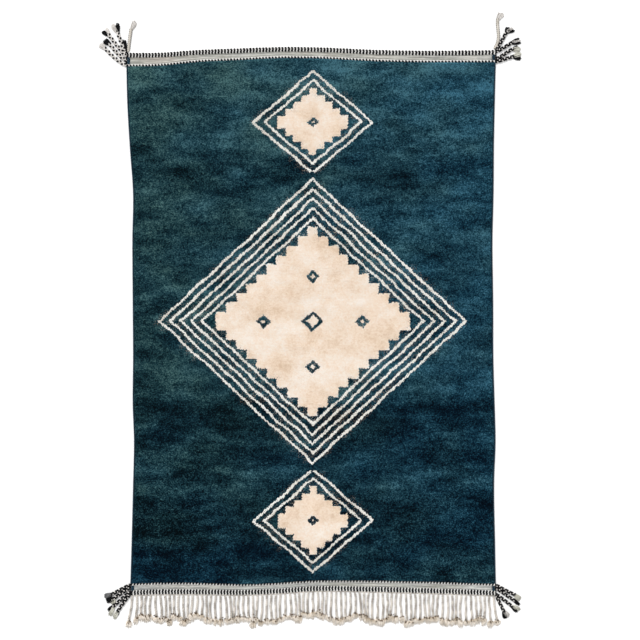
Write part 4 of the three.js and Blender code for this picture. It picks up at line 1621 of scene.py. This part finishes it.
@dataclass(frozen=True)
class CornerCord:
    """One cord of a corner: where it leaves the corner, how it turns, its yarns and its loose ends.

    Angles are in degrees from +X. Each end has its own turn from the cord's end, its length, the width that it
    fans out to and its yarn.
    """

    form: CordForm
    x: float
    y: float
    angle: float
    turn: float
    hump: float
    length: float
    plies: tuple[Yarn, ...]
    ends: tuple[LooseEnd, ...]

    def line(self, count: int) -> tuple[Array, Array]:
        """The cord's middle line.

        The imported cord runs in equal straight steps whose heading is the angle, plus the turn in step with the
        run, plus half a wave of hump. The line follows those steps with its corners softened.

        Args:
            count: how many points.

        Returns:
            The points in plan, and the heading at the end in radians.
        """
        steps = max(3, int(self.length / self.form.lobe + 0.5))
        share = np.arange(steps + 1) / steps
        heading = np.radians(self.angle + self.turn * share + self.hump * np.sin(np.pi * share))
        move = np.stack([np.cos(heading), np.sin(heading)], -1) * self.length / steps
        places = np.concatenate([[[0.0, 0.0]], np.cumsum(move[:-1], axis=0)]) + [self.x, self.y]
        fine = np.linspace(0, 1, count)
        across = SmoothCurve(tuple(share), tuple(places[:, 0]))(fine)
        along = SmoothCurve(tuple(share), tuple(places[:, 1]))(fine)
        return np.stack([across, along], -1), float(heading[-1])


DARK, SOFT, GREY, CREAM, CORD = Yarn.DARK, Yarn.SOFT, Yarn.GREY, Yarn.CREAM, Yarn.CORD
BRAID = CordForm.BRAID

# The yarns of a cord's strands: braids with two pale, two dark or two neighbouring pale ones, then the plain cord
# of thick pale strands and thin dark ones that paint the shadows in its grooves, then the black lock
PALE, DEEP, PAIR = (SOFT, DARK, SOFT), (DARK, SOFT, DARK), (DARK, SOFT, SOFT)
PALE_PLIES_WITH_GROOVE_SHADE, BLACK = (CORD, DARK) * 3, (DARK,) * 3

BAR_X = {
    (End.TOP, Side.LEFT): -1025.4,
    (End.TOP, Side.RIGHT): 1006.4,
    (End.BOTTOM, Side.LEFT): -1003.8,
    (End.BOTTOM, Side.RIGHT): 1006.0,
}

# Form, X and Y of the root, angle, turn, hump, length, yarns and loose ends of each cord; no X is the bar's own
CORNER_CORDS = {
    (End.TOP, Side.LEFT): (
        (CordForm.PLAIN, -1015, 1481, 84, -3, 0, 128, PALE_PLIES_WITH_GROOVE_SHADE, ((-16, 46, 30, SOFT),)),
        (CordForm.LOCK, None, 1474, 96, 0, 0, 40, BLACK, ((14, 34, 24, DARK),)),
        (BRAID, None, 1466, 114, -6, 0, 131, PALE, ((-14, 50, 21, DARK), (14, 52, 26, SOFT))),
        (BRAID, None, 1456, 132, -7, 0, 155, PALE, ((-13, 36, 16, SOFT), (28, 38, 19, DARK))),
        (BRAID, None, 1430, 142, -18, 0, 135, PAIR, ((21, 34, 32, DARK),)),
        (BRAID, None, 1405, 151, -24, 0, 158, PALE, ((14, 30, 30, SOFT),)),
    ),
    (End.TOP, Side.RIGHT): (
        (CordForm.PLAIN, 997, 1499, 56, 21, 29, 170, PALE_PLIES_WITH_GROOVE_SHADE, ((-22, 40, 36, SOFT),)),
        (BRAID, None, 1488, 58, 6, 0, 123, DEEP, ((2, 24, 24, DARK), (-31, 36, 12, SOFT), (-54, 40, 12, DARK))),
        (BRAID, None, 1480, 27, 2, 4, 107, DEEP, ((2, 42, 11, DARK), (-14, 42, 9, SOFT), (-30, 44, 11, DARK))),
        (BRAID, None, 1441, 27, -6, 10, 112, DEEP, ((4, 28, 16, DARK), (-22, 38, 30, CREAM))),
        (BRAID, None, 1424, 20, -4, 0, 104, DEEP, ((4, 42, 24, CREAM), (-28, 40, 26, DARK))),
    ),
    (End.BOTTOM, Side.LEFT): (
        (BRAID, None, -1447, 207, 2, 0, 120, DEEP, ((-14, 38, 26, GREY), (22, 40, 20, DARK))),
        (BRAID, None, -1463, 213, 2, 0, 113, DEEP, ((-8, 38, 22, DARK), (40, 30, 24, CREAM))),
        (BRAID, None, -1486, 220, 3, 0, 124, DEEP, ((0, 38, 24, DARK), (22, 54, 24, CREAM))),
        (BRAID, None, -1500, 230, 9, 0, 118, DEEP, ((4, 44, 20, CREAM), (10, 24, 16, DARK))),
    ),
    (End.BOTTOM, Side.RIGHT): (
        (BRAID, None, -1448, -31, 8, 0, 121, DEEP, ((-20, 38, 28, CREAM),)),
        (BRAID, None, -1464, -37, 6, 0, 124, DEEP, ((-10, 38, 16, DARK),)),
        (BRAID, None, -1498, -36, -4, 0, 116, DEEP, ((16, 44, 20, CREAM), (-8, 38, 18, DARK))),
        (BRAID, None, -1504, -64, 0, 0, 103, DEEP, ((-14, 38, 22, DARK), (14, 38, 26, SOFT))),
    ),
}


@dataclass(frozen=True)
class CornerTassel:
    """The cords of one corner: three-strand braids, a plain cord, a loose lock and their tufts."""

    end: End
    side: Side
    points: int = 54
    braid_pitch: float = 28.0
    cord_pitch: float = 33.0
    locks: int = 22
    sway: float = 0.25
    lone_sway: float = 0.17
    thin_sway: float = 0.44
    rise: float = 0.27
    pale_sink: float = 0.07
    cord_rise: float = 0.22

    def thickness(self, cord: CornerCord, yarn: Yarn) -> float:
        """A strand's thickness as a share of its cord's: full dark ones, slimmer light ones, thin dark threads
        that paint the plain cord's groove shadows.
        """
        if cord.form is CordForm.PLAIN:
            return 0.62 if yarn is CORD else 0.34
        if yarn is DARK:
            return 0.62 if cord.plies.count(yarn) > 1 else 0.76
        return 0.54 if cord.plies.count(yarn) > 1 else 0.60

    def strands(self, cord: CornerCord, skins: dict[Yarn, Skin]) -> None:
        """Adds a cord's strands.

        In a braid each of the three swings from side to side as a sine of the run, a third of a turn apart, and
        rises and dips twice as fast, so that they pass over and under each other. A lone strand of its yarn is
        thinner where it crosses the middle.

        Args:
            cord: the cord.
            skins: where each yarn's shapes are gathered.
        """
        flat, _ = cord.line(self.points)
        run = np.linspace(0, cord.length, self.points)
        full = np.clip(0.4 + 0.6 * run / 14, 0, 1)
        along = np.gradient(flat, axis=0)
        along /= np.linalg.norm(along, axis=1, keepdims=True)
        across = np.stack([-along[:, 1], along[:, 0]], -1)
        braided = cord.form is CordForm.BRAID
        pitch = self.braid_pitch if braided else self.cord_pitch
        for number, yarn in enumerate(cord.plies):
            share = self.thickness(cord, yarn)
            turn = 2 * np.pi * (run / pitch + number / len(cord.plies))
            lone = braided and cord.plies.count(yarn) == 1
            sway = self.thin_sway if share < 0.4 else self.lone_sway if lone and yarn is not DARK else self.sway
            swing = sway * cord.form.width * np.sin(turn) * full
            if braided:
                rise = cord.form.height * (self.rise * np.sin(2 * turn) - self.pale_sink * (yarn is not DARK))
            else:
                rise = cord.form.height * (self.cord_rise * np.cos(turn))
            thick = share * cord.form.width * (0.75 + 0.25 * full)
            if lone:
                thick = thick * (1 - 0.42 * np.cos(turn) ** 2)
            z = np.maximum(0.46 * cord.form.height + rise, 0.4 * thick)
            path = np.concatenate([flat + across * swing[:, None], z[:, None]], axis=1)[None]
            rings = tubes(path, thick[None], 0.85 * thick[None], 6)
            rings[..., 2] = np.maximum(rings[..., 2], 0.02)
            skins[yarn].add(*loft(rings))

    def tuft(self, cord: CornerCord, end: LooseEnd, seed: int, skins: dict[Yarn, Skin]) -> None:
        """Adds one loose end: locks that spread in a narrow fan from just inside the cord's tip.

        Args:
            cord: the cord.
            end: its turn from the cord's end, its length, its width and its yarn.
            seed: the random seed.
            skins: where each yarn's shapes are gathered.
        """
        turn, length, width, yarn = end
        random = np.random.default_rng(seed)
        flat, heading = cord.line(self.points)
        tip = flat[-1] - 6 * np.array([math.cos(heading), math.sin(heading)])
        out = heading + math.radians(turn)
        ahead = np.array([math.cos(out), math.sin(out)])
        aside = np.array([-ahead[1], ahead[0]])
        spread = np.linspace(-1, 1, self.locks) + random.normal(0, 0.12, self.locks)
        layer = np.arange(self.locks) % 3
        start = tip + aside * (0.30 * cord.form.width * spread)[:, None]
        reach = (6 + length) * (1 - 0.14 * spread**2) * random.uniform(0.86, 1.08, self.locks)
        finish = tip + aside * (0.5 * width * spread)[:, None] + ahead * reach[:, None]
        root = np.concatenate([start, (2.4 + 1.8 * layer)[:, None]], axis=1)
        final = np.concatenate([finish, (1.4 + 1.1 * layer)[:, None]], axis=1)
        rings = Lock(4.4, taper=0.2).fan(root, final, random.normal(0, 1.2, self.locks) + 1.5 * spread, seed + 1)
        rings[..., 2] = np.maximum(rings[..., 2], 0.03)
        skins[yarn].add(*loft(rings))

    def binding(self, skin: Skin) -> None:
        """Adds the small turns of yarn that bind the cords' roots beside the heading's end."""
        heading = HEADINGS[self.end]
        edge = heading.edge(self.side)
        x = edge + self.side.value * (GAP + 3.5)
        low, high = sorted((float(heading.pile(edge)), float(heading.outer(edge))))
        count = int((high - low - 2) / 7)
        y = low + 1 + (np.arange(count) + 0.5) * (high - low - 2) / count
        half = np.tile([4.25, 4.4, 4.0], (count, 1))
        skin.add(*beads(points_at(x, y, 4.0), half, np.full(count, 1.2), around=7, rings=4))

    def build(self, finishes: Finishes) -> list[bpy.types.Object]:
        """Builds and dresses the corner, one piece for each yarn.

        Args:
            finishes: the materials.

        Returns:
            The pieces.
        """
        skins = {yarn: Skin() for yarn in Yarn}
        self.binding(skins[Yarn.DARK])
        seed = 900 + 40 * self.end.value + 17 * self.side.value
        corner = (self.end, self.side)
        for form, x, *rest in CORNER_CORDS[corner]:
            cord = CornerCord(form, BAR_X[corner] if x is None else x, *rest)
            self.strands(cord, skins)
            for end in cord.ends:
                seed += 3
                self.tuft(cord, end, seed, skins)
        slots = {
            DARK: "braid_yarn", GREY: "braid_yarn", SOFT: "twine_light", CREAM: "warp_cord", CORD: "warp_cord",
        }
        place = f"{self.end.word}_{self.side.word}"
        return [
            skin.placed(f"tassel_{yarn.value}_{place}", finishes.yarn[yarn], slots[yarn], f"tassel_{place}")
            for yarn, skin in skins.items()
            if skin.count
        ]


@dataclass(frozen=True)
class Studio:
    """The pale floor, the soft light and the camera straight above."""

    centre: tuple[float, float] = (0.0395, 0.0071)
    picture_width: float = 3.5136
    camera_height: float = 7.0
    pile_level: float = 0.012
    floor_level: float = -0.0004
    floor_half: float = 30.0
    sky_strength: float = 0.76
    lamp_strength: float = 2.2
    lamp_width: float = 22.0
    lamp_lean: tuple[float, float] = (-42.0, -28.0)
    sensor: float = 36.0

    def floor(self) -> None:
        """Lays the floor just under the rug."""
        h, z = self.floor_half, self.floor_level
        mesh = bpy.data.meshes.new("floor")
        mesh.from_pydata([(-h, -h, z), (h, -h, z), (h, h, z), (-h, h, z)], [], [(0, 1, 2, 3)])
        made = bpy.data.objects.new("floor", mesh)
        bpy.context.scene.collection.objects.link(made)
        nodes = FinishNodes("pale_floor", 0.9)
        tone = nodes.ramp(nodes.cloud(0.6, 2, 0.5), (0.3, (251, 251, 251)), (0.7, (253, 253, 253)))
        mesh.materials.append(nodes.colour(tone))

    def light(self) -> None:
        """Sets an even white sky and one wide soft lamp from the upper left."""
        world = bpy.data.worlds.new("studio_sky")
        world.use_nodes = True
        sky = world.node_tree.nodes["Background"]
        sky.inputs["Color"].default_value = (1, 1, 1, 1)
        sky.inputs["Strength"].default_value = self.sky_strength
        bpy.context.scene.world = world
        lamp = bpy.data.lights.new("key", "SUN")
        lamp.energy = self.lamp_strength
        lamp.angle = math.radians(self.lamp_width)
        key = bpy.data.objects.new("key", lamp)
        key.rotation_euler = (*map(math.radians, self.lamp_lean), 0)
        bpy.context.scene.collection.objects.link(key)

    def camera(self) -> None:
        """Hangs the camera over the rug, so that the picture spans its measured width."""
        data = bpy.data.cameras.new("camera")
        data.sensor_width = self.sensor
        data.lens = self.sensor * (self.camera_height - self.pile_level) / self.picture_width
        made = bpy.data.objects.new("camera", data)
        made.location = (*self.centre, self.camera_height)
        bpy.context.scene.collection.objects.link(made)
        bpy.context.scene.camera = made

    def build(self) -> None:
        """Builds the whole studio."""
        bpy.context.scene.view_settings.view_transform = "Standard"
        self.camera()
        self.floor()
        self.light()


def main() -> None:
    """Builds and dresses the rug piece by piece."""
    logging.basicConfig(level=logging.INFO, format="%(name)s: %(message)s")
    Studio().build()
    finishes = Finishes.make()
    design = LozengeDesign()
    pile = PileField().build(finishes, design)
    kilims = {end: KilimBand(end).build(finishes) for end in End}
    made = list(pile[1:])
    for end in End:
        made += TwinedRows(end).build(finishes)
        for side in Side:
            made.append(EndWrap(end, side).build(finishes))
            made += CornerTassel(end, side).build(finishes)
    made += [Selvedge(side).build(finishes) for side in Side]
    made += WarpFringe().build(finishes)
    for kilim in kilims.values():
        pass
    LOG.info("%d pieces", len(made) + 1 + len(kilims))


if __name__ == "__main__":
    main()
